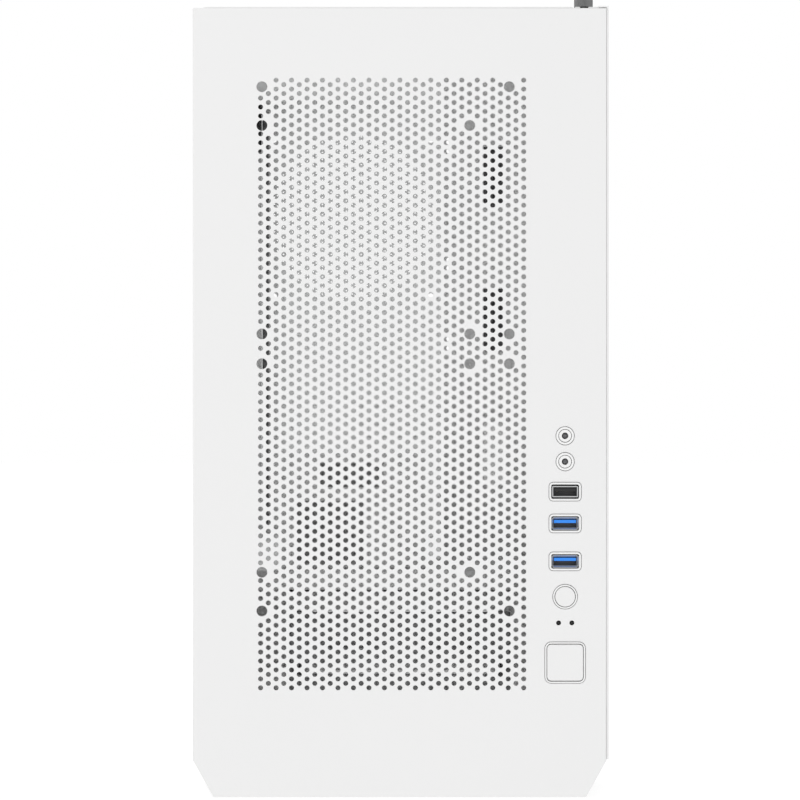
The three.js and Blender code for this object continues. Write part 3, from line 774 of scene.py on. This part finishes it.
def foldedEdge(shape, values, left, right, front, top, slope):
    # the bend and the return along the left, top and right edges, mitred at both upper corners
    bend, sheet, steps = values["bendRadius"], values["sheet"], values["bendSteps"]
    profile = [(sheet, 0.0)] + [(bend * rise, bend * run) for run, rise in quarterTurn(steps)]
    profile += [(0.0, values["returnDepth"]), (sheet, values["returnDepth"]), (sheet, sheet)]
    # where the fold starts and ends, as (side, inward step, height, drop for each step inward)
    corner = values["cornerRise"]
    stations = [(left, 1, corner, slope), (left, 1, top, 1), (right, -1, top, 1), (right, -1, corner, slope)]
    rings = []
    for side, inward, height, fall in stations:
        rings.append([
            shape.verts.new((side + inward * inset, front + depth, height - inset * fall))
            for inset, depth in profile
        ])
    for near, far in zip(rings, rings[1:]):
        for i in range(len(profile) - 1):
            shape.faces.new((near[i], near[i + 1], far[i + 1], far[i])).smooth = 0 < i <= steps
    capped(shape, rings[0])
    capped(shape, rings[-1])


def frontPanel():
    values = frontPanelSizes
    low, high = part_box("front_panel")
    right = high.x + values["rightReach"]
    fold, run, rise = values["sheet"], values["cornerRun"], values["cornerRise"]
    slope = (rise - low.z) / run
    faceLeft, faceRight, faceTop = low.x + fold, right - fold, high.z - fold
    outline = [
        (low.x + run, low.z), (right - run, low.z), (faceRight, rise - fold * slope),
        (faceRight, faceTop), (faceLeft, faceTop), (faceLeft, rise - fold * slope),
    ]
    gap = portSizes["panelGap"]
    loops = [outline]
    for bossOutline, centre, wall in portOutlines():
        loops.append(offsetPoints(bossOutline, (centre.x, centre.z), gap))
    for node in portNodes["lamps"]:
        centre = middleOf(node)
        loops.append(offsetPoints(circle(portSizes["lampHole"], 5), (centre.x, centre.z)))
    hole = circle(values["holeDiameter"] / 2, 3)
    loops += [offsetPoints(hole, centre) for centre in values["keptHoles"]]
    screws = [(values["fanLeft"], z) for z in {*values["fan120Heights"], *values["fan140Heights"]}]
    screws += [(values["fan120Right"], z) for z in values["fan120Heights"]]
    screws += [(values["fan140Right"], z) for z in values["fan140Heights"]]
    place = Matrix.Translation((0, low.y, 0)) @ upright
    shape = perforatedShape("front_panel", values, loops, sorted(screws), place)

    near = 0.01 * mm
    onFold = lambda vert: (
        abs(vert.co.x - faceLeft) < near, abs(vert.co.x - faceRight) < near, abs(vert.co.z - faceTop) < near,
    )
    seams = [face for face in shape.faces if any(map(all, zip(*(onFold(vert) for vert in face.verts))))]
    bmesh.ops.delete(shape, geom=seams, context="FACES_ONLY")
    foldedEdge(shape, values, low.x, right, low.y, high.z, slope)
    mesh = meshFrom(shape, "frontPanel")
    mesh.materials.append(finishes["white_steel"])
    print("front panel:", len(mesh.polygons), "faces")
    return addPiece("frontPanel", mesh, "front_panel")


frontPanel()


# Port column

def portHousing():
    # a plate behind the panel whose bosses come through it and end in rounded lips
    values = portSizes
    low, high, middle = boxOf("port_housing")
    plateFront, plateBack = high.y - 2.0 * mm, high.y
    shape = bmesh.new()
    frontRings, backRings = [], []
    for outline, centre, wall in portOutlines():
        edge = min(values["lipEdge"], wall * 0.48)
        profile = roundedProfile(0.0, -wall, plateFront, plateBack, low.y, edge)
        rings = moulding(shape, outline, (centre.x, centre.z), profile, toFront)
        frontRings.append(rings[0])
        backRings.append(rings[-1])
    for node in portNodes["lamps"]:
        centre = middleOf(node)
        rings = moulding(shape, circle(1.4 * mm, 5), (centre.x, centre.z),
                         [(0.0, plateFront), (0.0, plateBack)], toFront)
        frontRings.append(rings[0])
        backRings.append(rings[-1])
    rim = rounded(high.x - low.x, high.z - low.z, 2.0 * mm)
    rings = moulding(shape, rim, (middle.x, middle.z), [(0.0, plateFront), (0.0, plateBack)], toFront)
    fillBetween(shape, [rings[0], *frontRings])
    fillBetween(shape, [rings[1], *backRings])
    return addPiece("portHousing", meshFrom(shape, "portHousing"), "port_housing")


jackSizes = {
    "barrel": 3.15 * mm, "bore": 1.65 * mm, "edge": 0.25 * mm, "boreDepth": 10 * mm,
    "leaf": 1.2 * mm, "leafDepth": 1.3 * mm, "barrelLength": 5.2 * mm,
}


def audioJack(name, node):
    values = jackSizes
    low, high, middle = boxOf(node)
    centre = (middle.x, middle.z)
    bodyFront = low.y + values["barrelLength"]
    shape = bmesh.new()
    body = moulding(shape, rounded(high.x - low.x, high.z - low.z, 0.6 * mm), centre,
                    [(0.0, high.y), (0.0, bodyFront)], toFront, smooth=False)
    capped(shape, body[0])
    boreWall = values["bore"] - values["barrel"]
    profile = roundedProfile(0.0, boreWall, bodyFront, low.y + values["boreDepth"], low.y, values["edge"])
    barrel = moulding(shape, circle(values["barrel"]), centre, profile, toFront)
    fillBetween(shape, [body[-1], barrel[0]])
    capped(shape, barrel[-1])
    # the grey core holding the sprung contacts shows inside the bore
    leafFront = low.y + values["leafDepth"]
    dome = [
        (0.0, leafFront + 3 * mm), (0.0, leafFront + 0.4 * mm), (-0.25 * mm, leafFront),
        (-0.6 * mm, leafFront),
    ]
    before = set(shape.faces)
    leaf = moulding(shape, circle(values["leaf"], 4), centre, dome, toFront)
    capped(shape, leaf[0])
    capped(shape, leaf[-1])
    paintNew(shape, before)
    return addPiece(name, meshFrom(shape, name), node, [shadeLiningAndCoreFinish])


socketSizes = {
    "wall": 0.6 * mm, "corner": 0.6 * mm, "mouthDepth": 6 * mm, "edge": 0.1 * mm, "brightDepth": 0.4 * mm,
    "lipReach": 0.72 * mm, "lipRun": 0.85 * mm, "lipThickness": 0.22 * mm, "cornerSlit": 0.55 * mm,
    "contactPitch": 2.5 * mm, "contactWidth": 1.0 * mm,
}


def socketShell(name, node, hasLips):
    # a folded steel shell, and on the faster sockets four lips bent outwards round its mouth
    values = socketSizes
    low, high, middle = boxOf(node)
    width, height = high.x - low.x, high.z - low.z
    front = low.y + (0.7 * mm if hasLips else 0.0)
    shape = bmesh.new()
    outline = rounded(width, height, values["corner"], 3)
    centre = (middle.x, middle.z)
    inner = -values["wall"]
    profile = roundedProfile(0.0, inner, high.y, front + values["brightDepth"], front, values["edge"], 2)
    rings = moulding(shape, outline, centre, profile, toFront)
    capped(shape, rings[0])
    if hasLips:
        for turn in range(4):
            across, along = (width, height) if turn % 2 else (height, width)
            addLip(shape, middle, front, turn, across / 2 - values["wall"], along / 2 - values["cornerSlit"])
    # beyond its bright rim the mouth is lined with a dark plastic sheet that paints the shade inside the socket
    before = set(shape.faces)
    socketShadeProfile = [(inner, front + values["brightDepth"]), (inner, low.y + values["mouthDepth"])]
    capped(shape, moulding(shape, outline, centre, socketShadeProfile, toFront)[-1])
    paintNew(shape, before)
    return addPiece(name, meshFrom(shape, name), node, [shadeLiningAndCoreFinish])


def addLip(shape, middle, front, turn, reach, halfLength):
    # one lip of a socket's mouth: a thin trapezium leaning out towards the front
    values = socketSizes
    direction = [(0, 1), (1, 0), (0, -1), (-1, 0)][turn]
    along = (direction[1], direction[0])
    corners = []
    for depth, out, half in (
        (front + 0.15 * mm, reach, halfLength - 0.25 * mm),
        (front - values["lipRun"], reach + values["lipReach"], halfLength + 0.25 * mm),
    ):
        for side in (-1, 1):
            for thick in (0.0, values["lipThickness"]):
                x = middle.x + direction[0] * (out + thick) + along[0] * half * side
                z = middle.z + direction[1] * (out + thick) + along[1] * half * side
                corners.append(shape.verts.new((x, depth, z)))
    for picks in ((0, 1, 3, 2), (4, 5, 7, 6), (0, 1, 5, 4), (2, 3, 7, 6), (0, 2, 6, 4), (1, 3, 7, 5)):
        shape.faces.new([corners[i] for i in picks]).smooth = False


def socketTongue(name, node):
    # the insulating tongue with its row of contacts underneath
    values = socketSizes
    low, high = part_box(node)
    shape = bmesh.new()
    blockInto(shape, low, high)
    bmesh.ops.bevel(shape, geom=shape.edges[:], offset=0.15 * mm, segments=2, affect="EDGES", profile=0.5)
    before = set(shape.faces)
    middle = (low.x + high.x) / 2
    for i in range(4):
        x = middle + (i - 1.5) * values["contactPitch"]
        blockInto(shape, (x - values["contactWidth"] / 2, low.y + 3.0 * mm, low.z - 0.12 * mm),
                  (x + values["contactWidth"] / 2, high.y - 1 * mm, low.z + 0.05 * mm))
    paintNew(shape, before)
    return addPiece(name, meshFrom(shape, name), node, [gold])


buttonSizes = {
    "edge": 0.3 * mm, "dishRim": 1.4 * mm, "dishDepth": 0.05 * mm, "stemLength": 3.0 * mm,
    "flangeThickness": 1.0 * mm,
}


def pushButton(name, node, outline, flange, stem):
    # a cap with a rounded rim and a faint dish, on a flange that holds it in and a stem behind
    low, high, middle = boxOf(node)
    centre = (middle.x, middle.z)
    flangeBack = high.y - buttonSizes["stemLength"]
    flangeFront = flangeBack - buttonSizes["flangeThickness"]
    edge = buttonSizes["edge"]
    profile = [(flange, flangeBack), (flange, flangeFront), (0.0, flangeFront)]
    profile += [(-edge * run, low.y + edge * rise) for run, rise in quarterTurn(4)]
    profile.append((-buttonSizes["dishRim"], low.y + buttonSizes["dishDepth"]))
    shape = bmesh.new()
    rings = moulding(shape, outline, centre, profile, toFront)
    capped(shape, rings[-1])
    shank = moulding(shape, circle(stem, 5), centre, [(0.0, flangeBack), (0.0, high.y)], toFront)
    capped(shape, shank[-1])
    fillBetween(shape, [rings[0], shank[0]])
    mesh = meshFrom(shape, name)
    mesh.materials.append(buttonFinish)
    return addPiece(name, mesh, node)


def lampLens(name, node):
    low, high, middle = boxOf(node)
    radius = (high.x - low.x) / 2
    crown = 0.5 * mm
    profile = [(0.0, high.y), (0.0, low.y + crown)]
    profile += [(-radius * run, low.y + crown * rise) for run, rise in quarterTurn(4)[1:4]]
    shape = bmesh.new()
    rings = moulding(shape, circle(radius, 5), (middle.x, middle.z), profile, toFront)
    capped(shape, rings[0])
    capped(shape, rings[-1])
    return addPiece(name, meshFrom(shape, name), node)


portHousing()
audioJack("headphoneJack", "headphone_jack")
audioJack("microphoneJack", "microphone_jack")
for place in ("upper", "middle", "lower"):
    socketShell(f"{place}SocketShell", f"usb_{place}_shell", place != "upper")
    socketTongue(f"{place}SocketTongue", f"usb_{place}_tongue")
pushButton("resetButton", "reset_button", circle(5.05 * mm, 12), 1.35 * mm, 2.0 * mm)
pushButton("powerButton", "power_button", rounded(18.1 * mm, 18.2 * mm, 2.0 * mm), 1.4 * mm, 2.5 * mm)
lampLens("lampLensLeft", "led_lens_left")
lampLens("lampLensRight", "led_lens_right")
softened("portBoard", "port_board", 0.1 * mm)
softened("resetSwitch", "reset_switch", 0.2 * mm)
softened("powerSwitch", "power_switch", 0.2 * mm)
print("port column made")


# Roof, floor and rear panel

roofSizes = {
    "columnPitch": 4.5 * mm, "holePitch": 5.2 * mm, "columns": 31, "rows": 53, "holeDiameter": 3.4 * mm,
    "holeSides": 8, "fieldX": -7.2 * mm, "fieldY": -20 * mm, "fieldRadius": 1.0, "sheet": 1.0 * mm,
    "screwDiameter": 4.4 * mm, "screwClearance": 4.5 * mm,
    "foldFrom": (-160 * mm, 172 * mm), "foldX": -97.5 * mm, "foldBottom": 386 * mm,
}

floorSizes = {
    "columnPitch": 4.5 * mm, "holePitch": 5.2 * mm, "columns": 27, "rows": 23, "holeDiameter": 3.4 * mm,
    "holeSides": 8, "fieldX": 3 * mm, "fieldY": 117 * mm, "fieldRadius": 1.0, "sheet": 1.0 * mm,
    "screwDiameter": 4.4 * mm, "screwClearance": 4.5 * mm, "foldHalfWidth": 90 * mm,
}


def roofPanel():
    values = roofSizes
    low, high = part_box("roof_panel")
    outline = rectangle(low.x, high.x, low.y, high.y)
    shape = perforatedShape("roof_panel", values, [outline], (), Matrix.Translation((0, 0, high.z)))
    front, back = values["foldFrom"]
    blockInto(shape, (values["foldX"], front, values["foldBottom"]),
              (values["foldX"] + values["sheet"], back, high.z - values["sheet"]))
    return addPiece("roofPanel", meshFrom(shape, "roofPanel"), "roof_panel")


def floorPlate():
    values = floorSizes
    low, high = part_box("floor_plate")
    outline = rectangle(low.x, high.x, low.y, high.y)
    top = low.z + values["sheet"]
    shape = perforatedShape("floor_plate", values, [outline], (), Matrix.Translation((0, 0, top)))
    half = values["foldHalfWidth"]
    blockInto(shape, (-half, high.y - values["sheet"], top), (half, high.y, high.z))
    return addPiece("floorPlate", meshFrom(shape, "floorPlate"), "floor_plate")


rearPanelSizes = {
    "sheet": 1.0 * mm, "columnPitch": 2.0 * mm, "holePitch": 2.31 * mm, "columns": 57, "rows": 49,
    "holeDiameter": 1.1 * mm, "holeSides": 6,
    "fieldX": -32 * mm, "fieldY": 322 * mm, "fieldRadius": 55 * mm,
    "fanHoleReach": 52.5 * mm, "screwDiameter": 4.4 * mm, "screwClearance": 5.5 * mm,
    "boardOpening": (27.5 * mm, 72 * mm, 215 * mm, 373.8 * mm),
    "supplyOpening": (-58 * mm, 66 * mm, 30 * mm, 102 * mm),
    "supplyHoles": ((-65 * mm, 99.5 * mm), (73 * mm, 99.5 * mm), (-65 * mm, 35.5 * mm), (49 * mm, 29 * mm)),
    "slotX": (-30 * mm, 72 * mm), "slotHalfHeight": 6.5 * mm, "screwHole": 2.1 * mm,
    "foldX": -92 * mm, "foldFront": 178 * mm, "foldHeights": (116 * mm, 390.8 * mm),
}


def roundedRectangle(left, right, low, high, radius):
    outline = rounded(right - left, high - low, radius, 4)
    return offsetPoints(outline, ((left + right) / 2, (low + high) / 2))


def rearPanel():
    values = rearPanelSizes
    low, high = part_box("rear_panel")
    loops = [
        rectangle(low.x, high.x, low.z, high.z),
        roundedRectangle(*values["boardOpening"], 1.0 * mm),
        roundedRectangle(*values["supplyOpening"], 2.0 * mm),
    ]
    for i in range(4):
        middle = middleOf(f"slot_cover_{i + 1}").z
        half = values["slotHalfHeight"]
        loops.append(roundedRectangle(*values["slotX"], middle - half, middle + half, 1.0 * mm))
    for end in ("upper", "lower"):
        middle = middleOf(f"thumb_screw_rear_{end}")
        loops.append(offsetPoints(circle(values["screwHole"], 5), (middle.x, middle.z)))
    screws = list(values["supplyHoles"])
    for across in (-1, 1):
        for up in (-1, 1):
            reach = values["fanHoleReach"]
            screws.append((values["fieldX"] + across * reach, values["fieldY"] + up * reach))
    inside = high.y - values["sheet"]
    place = Matrix.Translation((0, inside, 0)) @ upright
    shape = perforatedShape("rear_panel", values, loops, screws, place)
    bottom, top = values["foldHeights"]
    blockInto(shape, (values["foldX"], values["foldFront"], bottom),
              (values["foldX"] + values["sheet"], inside, top))
    return addPiece("rearPanel", meshFrom(shape, "rearPanel"), "rear_panel")


roofPanel()
floorPlate()
rearPanel()
print("roof, floor and rear panel made")


# Thumb screws

thumbScrewSizes = {
    "ribs": 26, "ribDepth": 0.28 * mm, "bevel": 0.8 * mm, "dishDepth": 0.5 * mm,
    "shank": 1.7 * mm, "threadPitch": 0.9 * mm, "threadDepth": 0.25 * mm, "dishShare": 0.62,
    "headHeights": {"z": 6.0 * mm, "y": 6.1 * mm},
}


def thumbScrew(name, node, axis):
    # a knurled head on a shank with a ringed thread, standing along Z or lying along Y
    values = thumbScrewSizes
    low, high, middle = boxOf(node)
    radius = (high.x - low.x) / 2
    headHeight = values["headHeights"][axis]
    head = grown("screwHead", bpy.data.meshes.new("none"), knurledHead, {
        "Radius": radius, "Height": headHeight, "Ribs": values["ribs"], "Rib Depth": values["ribDepth"],
        "Bevel": values["bevel"], "Dish Radius": radius * values["dishShare"],
        "Dish Depth": values["dishDepth"], "Material": screwFinish,
    })
    shape = bmesh.new()
    shape.from_mesh(head)
    length = (high.z - low.z if axis == "z" else high.y - low.y) - headHeight
    profile = [(0.0, 0.3 * mm)]
    depth = -1.2 * mm
    while depth > -length + values["threadPitch"]:
        profile += [(0.0, depth), (-values["threadDepth"], depth - values["threadPitch"] / 2)]
        depth -= values["threadPitch"]
    profile += [(0.0, depth), (-0.5 * mm, -length)]
    rings = moulding(shape, circle(values["shank"], 4), (0.0, 0.0), profile, toTop, smooth=False)
    capped(shape, rings[0])
    capped(shape, rings[-1])
    mesh = meshFrom(shape, name)
    if axis == "z":
        place = Matrix.Translation((middle.x, middle.y, high.z - headHeight))
    else:
        turn = Matrix.Rotation(-pi / 2, 4, "X")
        place = Matrix.Translation((middle.x, high.y - headHeight, middle.z)) @ turn
    mesh.transform(place)
    mesh.materials.append(screwFinish)
    return addPiece(name, mesh, node)


thumbScrew("thumbScrewTop", "thumb_screw_top", "z")
thumbScrew("thumbScrewRearUpper", "thumb_screw_rear_upper", "y")
thumbScrew("thumbScrewRearLower", "thumb_screw_rear_lower", "y")
print("thumb screws made")


# Dust filters

filterSizes = {
    "topRim": 7 * mm, "bottomRim": 6 * mm, "corner": 2.5 * mm, "pitch": 1.6 * mm, "thread": 0.32 * mm,
    "edge": 0.25 * mm, "overlap": 1.0 * mm, "handleWidth": 26 * mm, "handleDepth": 6 * mm,
    "handleHeight": 2 * mm,
}


def filterFrame(shape, low, high, rim, edge):
    middle = (low + high) / 2
    profile = [
        (0.0, low.z + edge), (0.0, high.z - edge), (edge, high.z), (rim - edge, high.z),
        (rim, high.z - edge), (rim, low.z + edge), (rim - edge, low.z), (edge, low.z),
        (0.0, low.z + edge),
    ]
    rings = []
    for inset, height in profile:
        corner = max(filterSizes["corner"] - inset, 0.8 * mm)
        outline = rounded(high.x - low.x - 2 * inset, high.y - low.y - 2 * inset, corner, 4)
        points = offsetPoints(outline, (middle.x, middle.y))
        rings.append([shape.verts.new((x, y, height)) for x, y in points])
    for near, far in zip(rings, rings[1:]):
        for i in range(len(near)):
            j = (i + 1) % len(near)
            shape.faces.new((near[i], near[j], far[j], far[i])).smooth = False


def dustFilter(name, node, rim, netHeight):
    values = filterSizes
    low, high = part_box(node)
    handleDepth = 0.0 if node == "top_filter" else values["handleDepth"]
    frameHigh = Vector((high.x, high.y - handleDepth, high.z))
    middle = (low + frameHigh) / 2
    hidden = 2 * (rim - values["overlap"])
    net = grown("net", bpy.data.meshes.new("none"), dustNet, {
        "Width": frameHigh.x - low.x - hidden, "Length": frameHigh.y - low.y - hidden,
        "Pitch": values["pitch"], "Thread": values["thread"], "Material": finishes["filter_mesh"],
    }, Matrix.Translation((middle.x, middle.y, netHeight)))
    shape = bmesh.new()
    shape.from_mesh(net)
    before = set(shape.faces)
    filterFrame(shape, low, frameHigh, rim, min(values["edge"], (high.z - low.z) * 0.3))
    if handleDepth:
        half = values["handleWidth"] / 2
        blockInto(shape, (middle.x - half, frameHigh.y - values["overlap"], low.z),
                  (middle.x + half, high.y, low.z + values["handleHeight"]))
    paintNew(shape, before)
    return addPiece(name, meshFrom(shape, name), node, [finishes["white_plastic"]])


dustFilter("topFilter", "top_filter", filterSizes["topRim"], 398.45 * mm)
dustFilter("bottomFilter", "psu_filter", filterSizes["bottomRim"], 16.7 * mm)


# Feet

footSizes = {
    # radius and height over the lower end, then radius and depth under the upper end, in mm
    "foot": (
        ((9, 2.1), (9, 0.4), (9.4, 0), (10.6, 0), (11, 0.4), (11.3, 4), (12.2, 9), (13.1, 14.6)),
        ((13.5, 1.2), (13.5, 0.3), (13.2, 0)),
    ),
    "foot_pad": (
        ((3.0, 0.5), (3.4, 0), (5.4, 0), (5.7, 0.4), (6.3, 0.4), (6.6, 0), (8.2, 0), (8.7, 0.5)),
        ((8.7, 0),),
    ),
}


def turned(node, lower, upper):
    # a solid turned about the middle of its node
    low, high, middle = boxOf(node)
    pairs = [(radius * mm, low.z + rise * mm) for radius, rise in lower]
    pairs += [(radius * mm, high.z - drop * mm) for radius, drop in upper]
    largest = max(radius for radius, height in pairs)
    profile = [(radius - largest, height) for radius, height in pairs]
    shape = bmesh.new()
    rings = moulding(shape, circle(largest, 9), (middle.x, middle.y), profile, toTop)
    capped(shape, rings[0])
    capped(shape, rings[-1])
    name = camelCase(node)
    return addPiece(name, meshFrom(shape, name), node)


for corner in ("front_left", "front_right", "rear_left", "rear_right"):
    for kind, (lower, upper) in footSizes.items():
        turned(f"{kind}_{corner}", lower, upper)
print("filters and feet made")


# Everything that keeps the CAD's own shape, with its edges rounded

edgeWidths = {
    "front_post": 0.2, "motherboard_tray": 0.2, "psu_shroud": 0.25, "lower_side_plate": 0.25,
    "cable_bar": 0.25, "cable_grommet_upper": 0.5, "cable_grommet_middle": 0.5, "ssd_cage": 0.25,
    "drive_cage": 0.25, "drive_caddy_upper": 0.5, "drive_caddy_lower": 0.5, "rear_seal": 0.9,
    "door_glass": 0.5, "door_hinge_rail": 0.5, "door_magnet_rail": 0.5, "hinge_bracket_upper": 0.5,
    "hinge_pin_upper": 0.15, "hinge_pin_lower": 0.15, "right_side_panel": 0.25, "slot_clamp": 0.25,
    "slot_clamp_hinge": 0.2, "psu_filter_rail_left": 0.25, "psu_filter_rail_right": 0.25,
    "slot_cover_1": 0.3, "slot_cover_2": 0.3, "slot_cover_3": 0.3, "slot_cover_4": 0.3,
}


for node, width in edgeWidths.items():
    softened(camelCase(node), node, width * mm)
print("rounded pieces made:", len(edgeWidths))


# Floor, light and camera

stageValues = {
    "floorSize": 12.0, "floorColour": 0.25, "floorGlow": 0.85,
    "skyFar": 1.0, "skyNear": 0.78, "skyTurn": (0.90, 0.965),     # brightest straight behind the tower
    "keyPower": 9.0, "keySize": 1.6, "keyPlace": (-1.0, -1.8, 1.8),
    "sidePower": 2.0, "sideSize": 1.4, "sidePlace": (-1.9, 0.3, 0.9),
    "topPower": 1.2, "topSize": 1.4, "topPlace": (0.2, 0.6, 2.2),
    "innerPower": 0.035, "innerSize": 0.12, "innerPlace": (-0.045, -0.05, 0.31),
}


def makeFloor():
    size = stageValues["floorSize"] / 2
    mesh = bpy.data.meshes.new("floor")
    corners = [(x, y, 0.0) for x, y in rectangle(-size, size, -size, size)]
    mesh.from_pydata(corners, [], [(0, 1, 2, 3)])
    finish, sheet = newFinish("paleFloor")
    shade = stageValues["floorColour"]
    surface(sheet, {
        "Base Color": (shade, shade, shade), "Roughness": 0.9, "Specular IOR Level": 0.0,
        "Emission Color": (1.0, 1.0, 1.0), "Emission Strength": stageValues["floorGlow"],
    })
    mesh.materials.append(finish)
    floor = bpy.data.objects.new("floor", mesh)
    scene.collection.objects.link(floor)


def makeLamp(name, target):
    data = bpy.data.lights.new(name, "AREA")
    data.energy = stageValues[name + "Power"]
    data.size = stageValues[name + "Size"]
    place = stageValues[name + "Place"]
    lamp = bpy.data.objects.new(name, data)
    lamp.location = place
    lamp.rotation_euler = (Vector(target) - Vector(place)).to_track_quat("-Z", "Y").to_euler()
    scene.collection.objects.link(lamp)
    return lamp


def makeSky():
    values = stageValues
    world = bpy.data.worlds.new("studio")
    world.use_nodes = True
    world.node_tree.nodes.clear()
    sheet = NodeSheet(world.node_tree)
    direction = sheet.add("ShaderNodeTexCoord", output="Generated")
    toBack = sheet.add("ShaderNodeSeparateXYZ", sockets={"Vector": direction}, output="Y")
    share = sheet.add("ShaderNodeMapRange", {"clamp": True}, {
        "Value": toBack, "From Min": values["skyTurn"][0], "From Max": values["skyTurn"][1],
    })
    light = blended(sheet, share, (values["skyNear"],) * 3, (values["skyFar"],) * 3)
    background = sheet.add("ShaderNodeBackground", sockets={"Color": light, "Strength": 1.0})
    sheet.add("ShaderNodeOutputWorld", sockets={"Surface": background})
    scene.world = world


cameraValues = {"distance": 1.19, "height": 0.20034, "sensor": 36.0, "frameWidth": 0.4028}


def makeCamera():
    values = cameraValues
    data = bpy.data.cameras.new("camera")
    data.sensor_width = values["sensor"]
    data.lens = values["sensor"] * values["distance"] / values["frameWidth"]
    camera = bpy.data.objects.new("camera", data)
    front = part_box("front_panel")[0].y
    camera.location = (-0.00005, front - values["distance"], values["height"])
    camera.rotation_euler = (pi / 2, 0, 0)
    scene.collection.objects.link(camera)
    scene.camera = camera


makeFloor()
makeSky()
caseMiddle = tuple((cadBounds[0] + cadBounds[1]) / 2)
for lamp in ("key", "side", "top"):
    makeLamp(lamp, caseMiddle)
# a weak lamp inside the main chamber, so that what shows through the vent isn't lost
innerTarget = (caseMiddle[0] - 0.02, caseMiddle[1] + 0.2, caseMiddle[2] + 0.05)
innerLamp = makeLamp("inner", innerTarget)
innerLamp.visible_camera = False
makeCamera()
scene.view_settings.view_transform = "Standard"
print("stage made")
